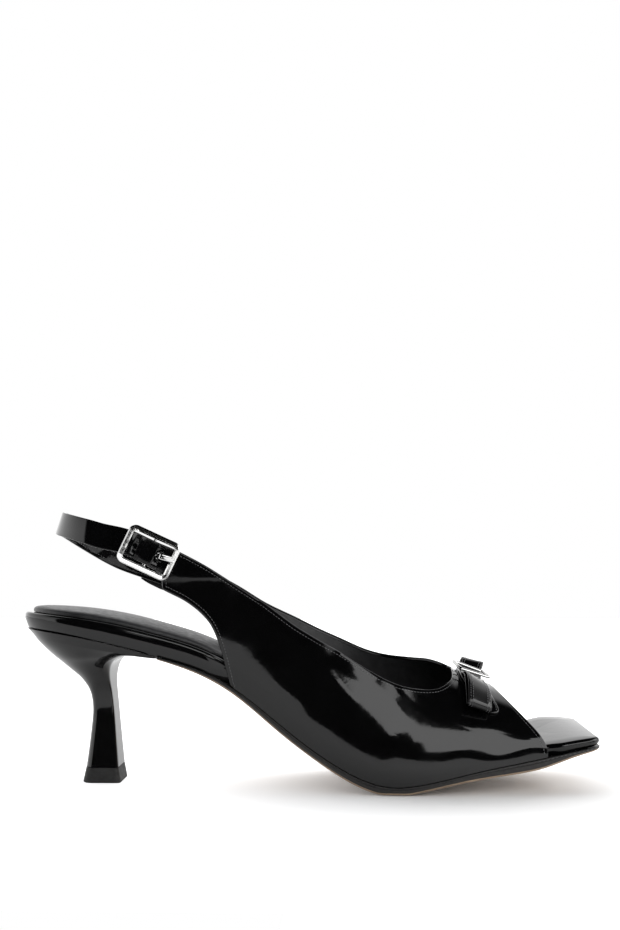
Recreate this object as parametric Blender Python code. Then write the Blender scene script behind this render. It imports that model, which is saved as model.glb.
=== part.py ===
"""Right slingback shoe with an open square toe and a flared heel.

Lengths in the tables are millimetres. x runs from the back of the heel to the toe,
y from the outer (lateral) side to the inner (medial) side, z up from the floor.
"""

import functools
import math

import bmesh
import bpy
import numpy as np

MM = 0.001

# Driving dimensions
GAP = 0.3
SHOE_LENGTH = 229.8
TOE_CORNER = 4.5
HEEL_ARC = 30.0
WALL = 1.7
SOLE_START = 57.3
EDGE_STEP = 0.3
BED_INSET = 2.5
BED_LEAN = 0.4
SOCK_INSET = 3.4
SOCK_END = 172.0
STRAP_THICK = 1.6
BUCKLE_CENTRE = (54.9, 92.9)
BUCKLE_SLOPE = math.radians(25.0)
BUCKLE_LENGTH = 20.6
BUCKLE_HEIGHT = 15.0
BUCKLE_BAR = 2.1
BUCKLE_THICK = 1.9
BUCKLE_CORNER = 2.6
PIN_DIAMETER = 1.6
PRONG_WIDTH = 2.2
PRONG_THICK = 1.2
STRAP_SLOT = (1.9, 6.4)
TONGUE_SLOT = (-2.0, 5.6)
SLOT_WIDTH = 3.0
BOW_X = 181.4
BOW_MIDDLE = -3.6
BOW_WIDTH = 9.6
BOW_THICK = 0.7
BOW_FOLD = 2.6
TAIL_REACH = 28.6
TAIL_SHIFT = 4.8
TAIL_TIP = 4.0
BOW_FRAME = (14.0, 11.0)
BOW_FRAME_BAR = 1.5
BOW_FRAME_THICK = 1.2

# Plan of the sole: half widths to each side of the heel's centre line
OUTLINE = (
    ("x", "lateral", "medial"),
    (30, 26.4, 26.4),
    (45, 26.3, 26.0),
    (60, 25.4, 24.6),
    (80, 24.7, 22.6),
    (100, 26.6, 22.8),
    (120, 31.2, 27.2),
    (138, 35.6, 33.4),
    (152, 37.2, 37.2),
    (166, 36.8, 38.4),
    (182, 34.6, 37.0),
    (198, 31.6, 34.8),
    (214, 28.6, 32.2),
    (230, 26.0, 29.6),
)

# Side profile of the footbed's underside, its thickness, and how much more it has on the inner side
BED = (
    ("x", "under", "thick", "cant"),
    (0, 62.9, 6.4, 0.0),
    (17, 61.2, 6.8, 0.0),
    (41, 56.4, 8.0, 0.0),
    (57, 52.1, 8.3, 0.0),
    (75, 46.3, 8.3, 0.0),
    (84, 41.7, 8.2, 0.0),
    (93, 35.6, 7.6, 0.0),
    (102, 28.6, 7.0, 0.0),
    (111, 21.6, 6.3, 0.0),
    (121, 14.6, 5.6, 0.0),
    (131, 8.8, 5.0, 0.0),
    (140, 5.0, 4.6, 0.0),
    (148, 3.4, 4.4, 0.0),
    (158, 4.0, 4.3, 0.0),
    (178, 8.2, 4.3, 0.3),
    (198, 12.0, 4.3, 2.2),
    (208, 13.8, 4.3, 4.0),
    (219, 16.0, 4.0, 3.2),
    (230, 18.1, 3.4, 0.6),
)

# Underside of the outsole: it dips to the floor under the ball
SOLE = (
    ("x", "bottom"),
    (57, 50.9),
    (67, 47.5),
    (75, 44.1),
    (84, 39.0),
    (93, 32.4),
    (102, 24.9),
    (111, 17.9),
    (121, 11.0),
    (130, 5.5),
    (138, 1.8),
    (148, -0.5),
    (158, 0.6),
    (178, 4.8),
    (188, 6.3),
    (198, 7.6),
    (207, 9.3),
    (217, 12.6),
    (230, 16.6),
)

# The last: ridge line over the foot, its shift to the inner side, and the bulge of the sides
LAST = (
    ("x", "ridge", "ridge_y", "belly"),
    (40, 172.0, 0.0, 6.6),
    (60, 150.0, 0.0, 6.2),
    (86, 127.0, 1.0, 5.4),
    (104, 106.0, 3.0, 3.6),
    (122, 84.0, 5.0, 1.8),
    (138, 67.0, 6.0, 1.0),
    (152, 57.4, 6.0, 0.8),
    (164, 50.8, 5.6, 0.5),
    (174, 45.9, 5.2, 0.3),
    (184, 41.3, 4.6, 0.1),
    (194, 37.5, 4.0, 0.0),
    (209, 31.6, 3.0, 0.0),
)
LAST_POWER = 2.3

# Ribs of the upper from back to front: lower edge point and top edge point of each rib.
# A lower edge of ON_SOLE follows the sole and a top edge of ON_RIDGE follows the ridge.
ON_SOLE = None
ON_RIDGE = None
LATERAL_RIBS = (
    ("x_low", "z_low", "x_top", "z_top"),
    (54.1, 88.4, 58.0, 96.6),
    (57.5, 86.4, 61.4, 95.2),
    (59.8, 84.6, 64.0, 94.1),
    (60.2, 79.0, 66.2, 93.0),
    (67.4, 75.3, 74.5, 88.6),
    (73.6, 70.9, 81.5, 84.3),
    (78.2, 65.8, 88.4, 79.7),
    (81.2, 59.5, 92.2, 77.2),
    (83.4, 52.4, 96.0, 74.7),
    (85.0, 45.6, 99.6, 72.2),
    (86.6, ON_SOLE, 103.2, 69.4),
    (96.0, ON_SOLE, 110.0, 64.2),
    (108.0, ON_SOLE, 119.0, 58.4),
    (121.0, ON_SOLE, 131.0, 51.2),
    (134.0, ON_SOLE, 142.0, 44.8),
    (146.0, ON_SOLE, 151.0, 40.8),
    (156.0, ON_SOLE, 159.5, 39.3),
    (165.0, ON_SOLE, 166.0, 39.4),
    (172.0, ON_SOLE, 170.8, 41.3),
    (177.0, ON_SOLE, 173.4, 43.6),
    (181.0, ON_SOLE, 174.4, ON_RIDGE),
    (188.0, ON_SOLE, 178.2, ON_RIDGE),
    (195.0, ON_SOLE, 182.2, ON_RIDGE),
    (202.0, ON_SOLE, 186.3, ON_RIDGE),
    (208.6, ON_SOLE, 190.4, ON_RIDGE),
)
MEDIAL_RIBS = (
    ("x_low", "z_low", "x_top", "z_top"),
    (43.0, 82.4, 46.4, 91.8),
    (46.6, 80.2, 51.6, 90.6),
    (50.8, 78.2, 57.4, 89.4),
    (57.6, 76.4, 64.0, 88.0),
    (66.4, 73.4, 72.6, 85.0),
    (73.0, 69.8, 80.0, 81.3),
    (77.8, 64.8, 86.6, 77.5),
    (80.8, 58.8, 91.0, 74.7),
    (83.2, 52.0, 95.0, 72.2),
    (84.9, 45.4, 99.0, 70.0),
    (86.6, ON_SOLE, 103.2, 67.9),
    (96.0, ON_SOLE, 110.0, 64.6),
    (108.0, ON_SOLE, 119.0, 60.0),
    (121.0, ON_SOLE, 131.0, 54.3),
    (134.0, ON_SOLE, 142.0, 50.0),
    (146.0, ON_SOLE, 151.0, 48.3),
    (156.0, ON_SOLE, 159.5, 48.0),
    (165.0, ON_SOLE, 166.0, 48.0),
    (172.0, ON_SOLE, 170.8, 46.9),
    (177.0, ON_SOLE, 173.4, 45.9),
    (181.0, ON_SOLE, 174.4, ON_RIDGE),
    (188.0, ON_SOLE, 178.2, ON_RIDGE),
    (195.0, ON_SOLE, 182.2, ON_RIDGE),
    (202.0, ON_SOLE, 186.3, ON_RIDGE),
    (208.6, ON_SOLE, 190.4, ON_RIDGE),
)
RIB_STEPS = 2
RIB_POINTS = 9
EASE_START = 90.0
EASE_END = 150.0

# Padded sock across its width: place from the outer to the inner edge, and height
SOCK = (
    ("part", "rise"),
    (0.0, 0.0),
    (0.0, 0.8),
    (0.02, 1.7),
    (0.07, 2.2),
    (0.25, 2.5),
    (0.5, 2.7),
    (0.75, 2.5),
    (0.93, 2.2),
    (0.98, 1.7),
    (1.0, 0.8),
    (1.0, 0.0),
)

# Heel sections from under the seat to the top lift: back and front points in the side view,
# half width, length of the rounded back and how square its corners are
HEEL = (
    ("x_back", "z_back", "x_front", "z_front", "half", "round", "square"),
    (3.4, 60.0, 56.6, 51.0, 25.2, 26.6, 2.0),
    (6.3, 56.4, 47.8, 51.9, 21.6, 22.0, 2.0),
    (11.4, 51.7, 42.9, 51.6, 16.8, 16.0, 2.0),
    (15.0, 48.9, 39.2, 50.0, 13.6, 12.5, 2.1),
    (19.1, 45.5, 37.0, 47.2, 11.4, 9.5, 2.2),
    (22.4, 42.7, 36.3, 43.6, 9.8, 7.4, 2.3),
    (24.6, 40.0, 36.2, 40.8, 8.7, 6.2, 2.4),
    (26.6, 36.4, 36.5, 37.0, 7.6, 5.2, 2.6),
    (27.7, 29.4, 37.1, 29.6, 7.1, 4.6, 2.8),
    (27.0, 20.0, 37.9, 20.2, 7.7, 4.8, 2.9),
    (26.1, 12.0, 38.6, 12.0, 8.5, 5.2, 3.0),
    (25.3, 6.3, 39.1, 6.3, 9.1, 5.5, 3.0),
)
LIFT = (
    ("x_back", "z_back", "x_front", "z_front", "half", "round", "square"),
    (25.2, 6.0, 39.1, 6.0, 9.1, 5.5, 3.0),
    (24.0, 0.2, 40.1, 0.2, 9.8, 5.9, 3.0),
    (24.2, 0.0, 39.9, 0.0, 9.6, 5.8, 3.0),
)
HEEL_ARC_POINTS = 9
HEEL_SIDE_POINTS = 3
HEEL_FRONT_POINTS = 4

# Loop of the sling strap behind the buckle: middle line, width, and lean of its width towards the toe.
# A y of IN_WING lies along the inside of the inner wing.
IN_WING = None
STRAP = (
    ("x", "y", "z", "width", "lean"),
    (36.0, -27.9, 99.4, 9.9, 0.02),
    (27.5, -24.2, 101.7, 9.5, 0.12),
    (19.6, -15.2, 104.0, 9.4, 0.26),
    (15.0, 0.0, 104.7, 9.6, 0.38),
    (19.0, 14.6, 100.5, 9.4, 0.28),
    (26.6, 23.2, 95.0, 9.3, 0.12),
    (35.0, 26.2, 90.4, 9.3, 0.04),
    (44.0, IN_WING, 86.9, 9.0, 0.0),
    (49.0, IN_WING, 85.2, 9.0, 0.0),
    (55.0, IN_WING, 83.0, 8.8, 0.0),
)
STRAP_AT_BUCKLE = 9.7
STRAP_TAIL = 8.4
STRAP_STATIONS = 64

# The bow's loops, from the middle to the folds: distance from the middle, and lift off the strip
# below on the outer and on the inner side
BOW_LOOP = (
    ("reach", "outer", "inner"),
    (0.0, 0.0, 0.0),
    (4.0, 0.02, 0.02),
    (7.0, 0.1, 0.3),
    (9.5, 0.6, 1.8),
    (12.5, 1.6, 3.8),
    (16.0, 2.5, 4.6),
    (20.0, 2.9, 4.5),
    (26.0, 2.6, 2.6),
)
BOW_UNDER = (9.0, 13.0, 17.0, 21.5)

# Materials: base colour, roughness and metallic value
FINISHES = {
    "black_patent": ((0.008, 0.008, 0.009), 0.06, 0.0),
    "black_gloss_heel": ((0.010, 0.010, 0.011), 0.08, 0.0),
    "black_sole_edge": ((0.014, 0.013, 0.013), 0.35, 0.0),
    "grey_sock": ((0.030, 0.030, 0.032), 0.32, 0.0),
    "black_rubber": ((0.012, 0.012, 0.012), 0.55, 0.0),
    "bright_metal": ((0.78, 0.78, 0.78), 0.12, 1.0),
}


def column(table, name):
    """One named column of a table whose first row holds the names."""
    at = table[0].index(name)
    return [row[at] for row in table[1:]]


def smooth_curve(xs, ys):
    """Natural cubic curve through the points, straight beyond its ends."""
    xs = np.asarray(xs, float)
    ys = np.asarray(ys, float)
    step = np.diff(xs)
    rise = np.diff(ys) / step
    count = len(xs)
    system = np.eye(count)
    right = np.zeros(count)
    for i in range(1, count - 1):
        system[i, i - 1:i + 2] = step[i - 1], 2 * (step[i - 1] + step[i]), step[i]
        right[i] = 6 * (rise[i] - rise[i - 1])
    bend = np.linalg.solve(system, right)

    def value(x):
        i = int(np.clip(np.searchsorted(xs, x) - 1, 0, count - 2))
        slope = rise[i] - step[i] * (2 * bend[i] + bend[i + 1]) / 6
        if x < xs[0]:
            return ys[0] + slope * (x - xs[0])
        if x > xs[-1]:
            end = rise[-1] + step[-1] * (2 * bend[-1] + bend[-2]) / 6
            return ys[-1] + end * (x - xs[-1])
        d = x - xs[i]
        return ys[i] + d * (slope + d * (bend[i] / 2 + d * (bend[i + 1] - bend[i]) / (6 * step[i])))

    return value


def steady_curve(xs, ys):
    """Cubic curve through the points that never swings past them."""
    xs = np.asarray(xs, float)
    ys = np.asarray(ys, float)
    step = np.diff(xs)
    rise = np.diff(ys) / step
    slope = np.zeros(len(xs))
    slope[0] = rise[0]
    slope[-1] = rise[-1]
    for i in range(1, len(xs) - 1):
        if rise[i - 1] * rise[i] > 0:
            before = 2 * step[i] + step[i - 1]
            after = step[i] + 2 * step[i - 1]
            slope[i] = (before + after) / (before / rise[i - 1] + after / rise[i])

    def value(x):
        i = int(np.clip(np.searchsorted(xs, x) - 1, 0, len(xs) - 2))
        t = (x - xs[i]) / step[i]
        keep = (1 + 2 * t) * (1 - t) ** 2
        lead = t * (1 - t) ** 2 * step[i] * slope[i]
        come = t * t * (3 - 2 * t)
        tail = t * t * (t - 1) * step[i] * slope[i + 1]
        return keep * ys[i] + lead + come * ys[i + 1] + tail

    return value


def table_curve(table, name):
    return smooth_curve(column(table, "x"), column(table, name))


def ease(value, start, end):
    """0 before start, 1 after end, smooth between."""
    t = min(max((value - start) / (end - start), 0.0), 1.0)
    return t * t * (3 - 2 * t)


outline_curve = {-1: table_curve(OUTLINE, "lateral"), 1: table_curve(OUTLINE, "medial")}
bed_under = table_curve(BED, "under")
bed_thick = table_curve(BED, "thick")
bed_cant = table_curve(BED, "cant")
sole_dip = table_curve(SOLE, "bottom")
ridge = table_curve(LAST, "ridge")
ridge_y = table_curve(LAST, "ridge_y")
belly = table_curve(LAST, "belly")


def sole_bottom(x):
    """Underside of the outsole, flat on the floor under the ball."""
    return max(sole_dip(x), 0.0)


def half_width(x, side, inset=0.0):
    """Half width of the sole at x, pulled in by inset all round."""
    half = outline_curve[side](max(x, HEEL_ARC)) - inset
    if x < HEEL_ARC:
        arc = HEEL_ARC - inset
        return half * math.sqrt(max(1 - ((HEEL_ARC - x) / arc) ** 2, 0.0))
    corner = SHOE_LENGTH - inset - TOE_CORNER
    if x > corner:
        half -= TOE_CORNER - math.sqrt(max(TOE_CORNER ** 2 - (x - corner) ** 2, 0.0))
    return half


def plan_stations(start, end, spacing, inset=0.0, round_back=True, round_toe=True):
    """Stations along x, closer together round the heel and at the toe's corners."""
    stations = []
    first = start
    last = end
    if round_back:
        arc = HEEL_ARC - inset
        stations += [HEEL_ARC - arc * math.cos(math.radians(a)) for a in (9, 22, 35, 48, 61, 75)]
        first = HEEL_ARC
    if round_toe:
        last = end - TOE_CORNER
    stations += list(np.linspace(first, last, int(round((last - first) / spacing)) + 1))
    if round_toe:
        stations += [last + TOE_CORNER * math.sin(math.radians(a)) for a in (30, 58, 90)]
    return stations


def finish(name):
    """Material with the named colour, roughness and metallic value."""
    material = bpy.data.materials.new(name)
    material.use_nodes = True
    shader = material.node_tree.nodes["Principled BSDF"]
    colour, roughness, metallic = FINISHES[name]
    shader.inputs["Base Color"].default_value = (*colour, 1.0)
    shader.inputs["Roughness"].default_value = roughness
    shader.inputs["Metallic"].default_value = metallic
    return material


def add_solid(name, points, faces, material):
    """Closed mesh object from points in millimetres."""
    mesh = bpy.data.meshes.new(name)
    mesh.from_pydata([tuple(MM * c for c in p) for p in points], [], faces)
    work = bmesh.new()
    work.from_mesh(mesh)
    bmesh.ops.remove_doubles(work, verts=work.verts, dist=MM * 0.001)
    bmesh.ops.recalc_face_normals(work, faces=work.faces)
    work.to_mesh(mesh)
    work.free()
    mesh.shade_smooth()
    mesh.set_sharp_from_angle(angle=math.radians(35))
    mesh.materials.append(material)
    solid = bpy.data.objects.new(name, mesh)
    bpy.context.collection.objects.link(solid)
    solid.parent = shoe
    return solid


def loft(name, rings, material, closed_path=False):
    """Solid through closed rings of equal count, capped at both ends unless the path is closed."""
    count = len(rings[0])
    points = [p for ring in rings for p in ring]
    faces = []
    for i in range(len(rings) if closed_path else len(rings) - 1):
        here = i * count
        there = ((i + 1) % len(rings)) * count
        for j in range(count):
            k = (j + 1) % count
            faces.append((here + j, here + k, there + k, there + j))
    if not closed_path:
        faces.append(tuple(range(count)))
        faces.append(tuple(range(len(points) - count, len(points))))
    return add_solid(name, points, faces, material)


def build_outsole(material):
    rings = []
    for x in plan_stations(SOLE_START, SHOE_LENGTH, 4.6, round_back=False):
        top = bed_under(x) - GAP
        bottom = sole_bottom(x)
        bevel = min(1.1, 0.45 * (top - bottom))
        lateral = half_width(x, -1)
        medial = half_width(x, 1)
        rings.append((
            (x, -lateral, top),
            (x, -lateral, bottom + bevel),
            (x, -lateral + 0.5 * bevel, bottom + 0.3 * bevel),
            (x, -lateral + 2.4 * bevel, bottom),
            (x, medial - 2.4 * bevel, bottom),
            (x, medial - 0.5 * bevel, bottom + 0.3 * bevel),
            (x, medial, bottom + bevel),
            (x, medial, top),
        ))
    loft("outsole", rings, material)


def bed_inset(x):
    """How far the footbed's side is pulled in to sit inside the upper's wall."""
    return BED_INSET * (ease(x, 77.0, 83.5) - ease(x, 208.6, 215.0))


def bed_top(x, y):
    """Top of the footbed, which rises towards the inner side at the toe."""
    lateral = half_width(x, -1)
    part = (y + lateral) / (lateral + half_width(x, 1))
    return bed_under(x) + bed_thick(x) + bed_cant(x) * part


def build_insole(material):
    rings = []
    roll = 1.5
    for x in plan_stations(0.0, SHOE_LENGTH - 0.4, 4.4):
        under = bed_under(x)
        ring = []
        for side in (-1, 1):
            half = side * (half_width(x, side) - bed_inset(x))
            top = bed_top(x, half)
            shoulder = half - side * BED_LEAN * (top - under - bed_thick(x))
            edge = [
                (x, half - side * 0.5, under),
                (x, half, under + 0.8),
                (x, shoulder, top - roll),
                (x, shoulder - side * 0.3 * roll, top - 0.3 * roll),
                (x, shoulder - side * roll, top),
            ]
            ring += edge if side < 0 else edge[::-1]
        rings.append(ring)
    loft("insole", rings, material)


def build_sock(material):
    start_arc = HEEL_ARC - SOCK_INSET
    stations = [HEEL_ARC - start_arc * math.cos(math.radians(a)) for a in (9, 22, 35, 48, 61, 75)]
    stations += list(np.linspace(HEEL_ARC, SOCK_END, 30))
    rings = []
    for x in stations:
        half = [side * (half_width(x, side, SOCK_INSET) - bed_inset(x)) for side in (-1, 1)]
        ring = []
        for part, rise in SOCK[1:]:
            y = half[0] + (half[1] - half[0]) * part
            ring.append((x, y, bed_top(x, y) + GAP + rise))
        rings.append(ring)
    loft("sock", rings, material)


def heel_ring(x_back, z_back, x_front, z_front, half, rounded, square, height=None):
    """Closed ring: straight front, straight sides and a rounded back, on a slanted plane."""
    plan = []
    for j in range(HEEL_ARC_POINTS):
        angle = math.pi * (j / (HEEL_ARC_POINTS - 1) - 0.5)
        across = math.copysign(abs(math.sin(angle)) ** (2 / square), angle)
        along = abs(math.cos(angle)) ** (2 / square)
        plan.append((x_back + rounded * (1 - along), half * across))
    side_start = x_back + rounded
    for j in range(1, HEEL_SIDE_POINTS + 1):
        plan.append((side_start + (x_front - side_start) * j / HEEL_SIDE_POINTS, half))
    for j in range(1, HEEL_FRONT_POINTS):
        plan.append((x_front, half * (1 - 2 * j / HEEL_FRONT_POINTS)))
    for j in range(HEEL_SIDE_POINTS, 0, -1):
        plan.append((side_start + (x_front - side_start) * j / HEEL_SIDE_POINTS, -half))
    slope = (z_front - z_back) / (x_front - x_back)
    return [(x, y, height(x) if height else z_back + slope * (x - x_back)) for x, y in plan]


def build_heel(material):
    def seat(x):
        return bed_under(x) - GAP

    seat_back = 0.9
    seat_front = SOLE_START - GAP
    seat_half = half_width(45.0, 1) - 0.4
    rings = [heel_ring(seat_back, 0, seat_front, 0, seat_half, HEEL_ARC - seat_back - 1.0, 2.0, seat)]
    rings += [heel_ring(*row) for row in HEEL[1:]]
    loft("heel", rings, material)


def build_top_lift(material):
    loft("heel_top_lift", [heel_ring(*row) for row in LIFT[1:]], material)


def last_point(x, side, theta, inset=0.0):
    """Point of the last's surface: theta 0 at the sole's edge and a right angle at the ridge."""
    base = bed_under(x)
    height = max(ridge(x) - base - inset, 1.0)
    middle = ridge_y(x)
    reach = side * (outline_curve[side](x) - EDGE_STEP - inset) - middle
    rise = math.sin(theta) ** (2 / LAST_POWER)
    across = math.cos(theta) ** (2 / LAST_POWER) if theta < math.pi / 2 else 0.0
    bulge = side * belly(x) * 4 * rise * (1 - rise)
    return np.array((x, middle + reach * across + bulge, base + height * rise))


def last_angle(x, z):
    """Angle at which the last's surface reaches height z."""
    rise = (z - bed_under(x)) / (ridge(x) - bed_under(x))
    return math.asin(min(max(rise, 0.0), 1.0) ** (LAST_POWER / 2))


def upper_wall(table, side):
    """Outer and inner grids of one half of the upper, and the rib where the ridge starts."""
    rows = table[1:]
    low_angle = [0.0 if row[1] is ON_SOLE else last_angle(row[0], row[1]) for row in rows]
    top_angle = [math.pi / 2 if row[3] is ON_RIDGE else last_angle(row[2], row[3]) for row in rows]
    index = range(len(rows))
    x_low = steady_curve(index, column(table, "x_low"))
    x_top = steady_curve(index, column(table, "x_top"))
    low = steady_curve(index, low_angle)
    top = steady_curve(index, top_angle)
    outer = []
    inner = []
    for i in range((len(rows) - 1) * RIB_STEPS + 1):
        u = i / RIB_STEPS
        bow = ease(x_low(u), EASE_START, EASE_END)
        rib_out = []
        rib_in = []
        for j in range(RIB_POINTS):
            t = j / (RIB_POINTS - 1)
            along = (1 - bow) * t + bow * math.sin(0.5 * math.pi * t) ** 2
            x = x_low(u) + (x_top(u) - x_low(u)) * along
            theta = low(u) + (top(u) - low(u)) * t
            rib_out.append(last_point(x, side, theta))
            rib_in.append(last_point(x, side, theta, WALL))
        outer.append(rib_out)
        inner.append(rib_in)
    first_on_ridge = [row[3] for row in rows].index(ON_RIDGE) * RIB_STEPS
    return outer, inner, first_on_ridge


def build_upper(material):
    points = []
    faces = []
    for table, side in ((LATERAL_RIBS, -1), (MEDIAL_RIBS, 1)):
        outer, inner, ridge_rib = upper_wall(table, side)
        ribs = len(outer)
        base = len(points)
        points += [p for rib in outer for p in rib]
        points += [p for rib in inner for p in rib]

        def at(layer, i, j):
            return base + (layer * ribs + i) * RIB_POINTS + j

        for i in range(ribs - 1):
            for layer in (0, 1):
                for j in range(RIB_POINTS - 1):
                    faces.append((at(layer, i, j), at(layer, i + 1, j),
                                  at(layer, i + 1, j + 1), at(layer, i, j + 1)))
            faces.append((at(0, i, 0), at(0, i + 1, 0), at(1, i + 1, 0), at(1, i, 0)))
            top = RIB_POINTS - 1
            if i < ridge_rib:
                faces.append((at(0, i, top), at(0, i + 1, top), at(1, i + 1, top), at(1, i, top)))
        for i in (0, ribs - 1):
            for j in range(RIB_POINTS - 1):
                faces.append((at(0, i, j), at(0, i, j + 1), at(1, i, j + 1), at(1, i, j)))
    cut_slot(add_solid("upper", points, faces, material), *TONGUE_SLOT, -0.5 * WALL)


def unit(vector):
    return vector / np.linalg.norm(vector)


def wing_point(x, z):
    return last_point(x, -1, last_angle(x, z))


@functools.lru_cache(maxsize=None)
def buckle_axes():
    """Centre, direction along the strap, direction across it and outward direction of the buckle."""
    x, z = BUCKLE_CENTRE
    run = 8.0
    ahead = wing_point(x + run * math.cos(BUCKLE_SLOPE), z - run * math.sin(BUCKLE_SLOPE))
    back = wing_point(x - run * math.cos(BUCKLE_SLOPE), z + run * math.sin(BUCKLE_SLOPE))
    above = wing_point(x + 4 * math.sin(BUCKLE_SLOPE), z + 4 * math.cos(BUCKLE_SLOPE))
    centre = wing_point(x, z)
    along = unit(ahead - back)
    outward = unit(np.cross(along, above - centre))
    return centre, along, np.cross(outward, along), outward


def at_buckle(s, w, lift):
    """Point at s along the buckle, w across it and lift outward from the wing's surface."""
    centre, along, across, outward = buckle_axes()
    return centre + s * along + w * across + lift * outward


STRAP_LIFT = GAP + 0.5 * STRAP_THICK + 0.25
FRAME_LIFT = STRAP_LIFT + 0.5 * STRAP_THICK + GAP + 0.5 * BUCKLE_THICK + 0.1


def build_sling_strap(material):
    _, _, across, _ = buckle_axes()
    route = [(at_buckle(s, 0.0, STRAP_LIFT), STRAP_AT_BUCKLE, across) for s in (STRAP_TAIL, 3.0, -3.0, -9.0)]
    for x, y, z, width, lean in STRAP[1:]:
        up = np.array((lean, 0.0, 1.0))
        if y is IN_WING:
            y = last_point(x, 1, last_angle(x, z), WALL)[1] - GAP - 0.5 * STRAP_THICK - 0.3
            up = last_point(x, 1, last_angle(x, z + 3), WALL) - last_point(x, 1, last_angle(x, z - 3), WALL)
        route.append((np.array((x, y, z)), width, unit(up)))
    path = [p for p, _, _ in route]
    run = [0.0] + list(np.cumsum([np.linalg.norm(b - a) for a, b in zip(path, path[1:])]))
    middle = [smooth_curve(run, [p[k] for p in path]) for k in range(3)]
    width = smooth_curve(run, [w for _, w, _ in route])
    lean = [smooth_curve(run, [v[k] for _, _, v in route]) for k in range(3)]
    rings = []
    half_thick = 0.5 * STRAP_THICK
    round_edge = 0.35
    for d in np.linspace(0.0, run[-1], STRAP_STATIONS):
        p = np.array([c(d) for c in middle])
        tangent = unit(np.array([c(d + 0.1) - c(d - 0.1) for c in middle]))
        up = np.array([c(d) for c in lean])
        up = unit(up - tangent * np.dot(up, tangent))
        out = np.cross(tangent, up)
        half = 0.5 * width(d)
        corners = ((-1, -1), (1, -1), (1, 1), (-1, 1))
        ring = []
        for a, b in corners:
            first = p + a * (half - round_edge) * up + b * half_thick * out
            second = p + a * half * up + b * (half_thick - round_edge) * out
            ring += [second, first] if a * b > 0 else [first, second]
        rings.append(ring)
    cut_slot(loft("sling_strap", rings, material), *STRAP_SLOT, STRAP_LIFT)


def cut_slot(leather, near, far, lift):
    """Round-ended slot through a strap or tongue at the buckle, for the prong."""
    reach = 2.5
    bulge = 0.5 * SLOT_WIDTH
    rings = []
    for height in (lift - reach, lift + reach):
        ring = []
        for j in range(16):
            angle = 2 * math.pi * (j + 0.5) / 16
            s = (far - bulge if math.cos(angle) > 0 else near + bulge) + bulge * math.cos(angle)
            ring.append(at_buckle(s, bulge * math.sin(angle), height))
        rings.append(ring)
    cutter = loft(leather.name + "_slot", rings, leather.data.materials[0])
    cutter.hide_render = True
    cutter.display_type = "WIRE"
    cut = leather.modifiers.new("slot", "BOOLEAN")
    cut.operation = "DIFFERENCE"
    cut.object = cutter


def frame_rings(length, height, bar, thick, corner, place, arc_points=4):
    """Rings of a rectangular frame with rounded corners and a bevelled section."""
    rings = []
    mid_corner = corner - 0.5 * bar
    bevel = 0.28 * thick
    for quarter in range(4):
        turn = 0.5 * math.pi * quarter
        cx = (0.5 * length - corner) * (1 if quarter in (0, 3) else -1)
        cy = (0.5 * height - corner) * (1 if quarter in (0, 1) else -1)
        for k in range(arc_points + 1):
            angle = turn + 0.5 * math.pi * k / arc_points
            out = (math.cos(angle), math.sin(angle))
            ring = []
            section = (
                (-0.5 * bar, -0.5 * thick),
                (0.5 * bar, -0.5 * thick),
                (0.5 * bar, 0.5 * thick - bevel),
                (0.5 * bar - bevel, 0.5 * thick),
                (-0.5 * bar + bevel, 0.5 * thick),
                (-0.5 * bar, 0.5 * thick - bevel),
            )
            for r, h in section:
                ring.append(place(cx + (mid_corner + r) * out[0], cy + (mid_corner + r) * out[1], h))
            rings.append(ring)
    return rings


def build_sling_buckle_frame(material):
    def place(s, w, h):
        return at_buckle(s, w, FRAME_LIFT + h)

    rings = frame_rings(BUCKLE_LENGTH, BUCKLE_HEIGHT, BUCKLE_BAR, BUCKLE_THICK, BUCKLE_CORNER, place)
    loft("sling_buckle_frame", rings, material, closed_path=True)


def tube(name, path, across, thick, material, sides=8):
    """Rounded bar along a path: across and thick are its full section sizes."""
    rings = []
    side_dir = unit(np.cross(path[1] - path[0], path[2] - path[1]))
    for i, p in enumerate(path):
        tangent = unit(path[min(i + 1, len(path) - 1)] - path[max(i - 1, 0)])
        other = np.cross(tangent, side_dir)
        ring = []
        for j in range(sides):
            angle = 2 * math.pi * (j + 0.5) / sides
            ring.append(p + 0.5 * across * math.cos(angle) * side_dir + 0.5 * thick * math.sin(angle) * other)
        rings.append(ring)
    loft(name, rings, material)


def round_path(corners, bend, steps=4):
    """Straight runs between corner points, each inner corner rounded over the length bend."""
    path = [corners[0]]
    for before, corner, after in zip(corners, corners[1:], corners[2:]):
        start = corner + bend * unit(before - corner)
        end = corner + bend * unit(after - corner)
        for k in range(steps + 1):
            t = k / steps
            path.append((1 - t) ** 2 * start + 2 * t * (1 - t) * corner + t * t * end)
    path.append(corners[-1])
    return path


PIN_LIFT = STRAP_LIFT - 0.5 * STRAP_THICK - GAP - 0.5 * PIN_DIAMETER - 0.1
PIN_END_LIFT = FRAME_LIFT - 0.5 * BUCKLE_THICK - GAP


def build_sling_buckle_pin(material):
    reach = 0.5 * (BUCKLE_HEIGHT - BUCKLE_BAR)
    corners = [at_buckle(0.0, w, lift) for w, lift in (
        (reach, PIN_END_LIFT), (reach, PIN_LIFT), (-reach, PIN_LIFT), (-reach, PIN_END_LIFT))]
    tube("sling_buckle_pin", round_path(corners, 0.9), PIN_DIAMETER, PIN_DIAMETER, material)


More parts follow.
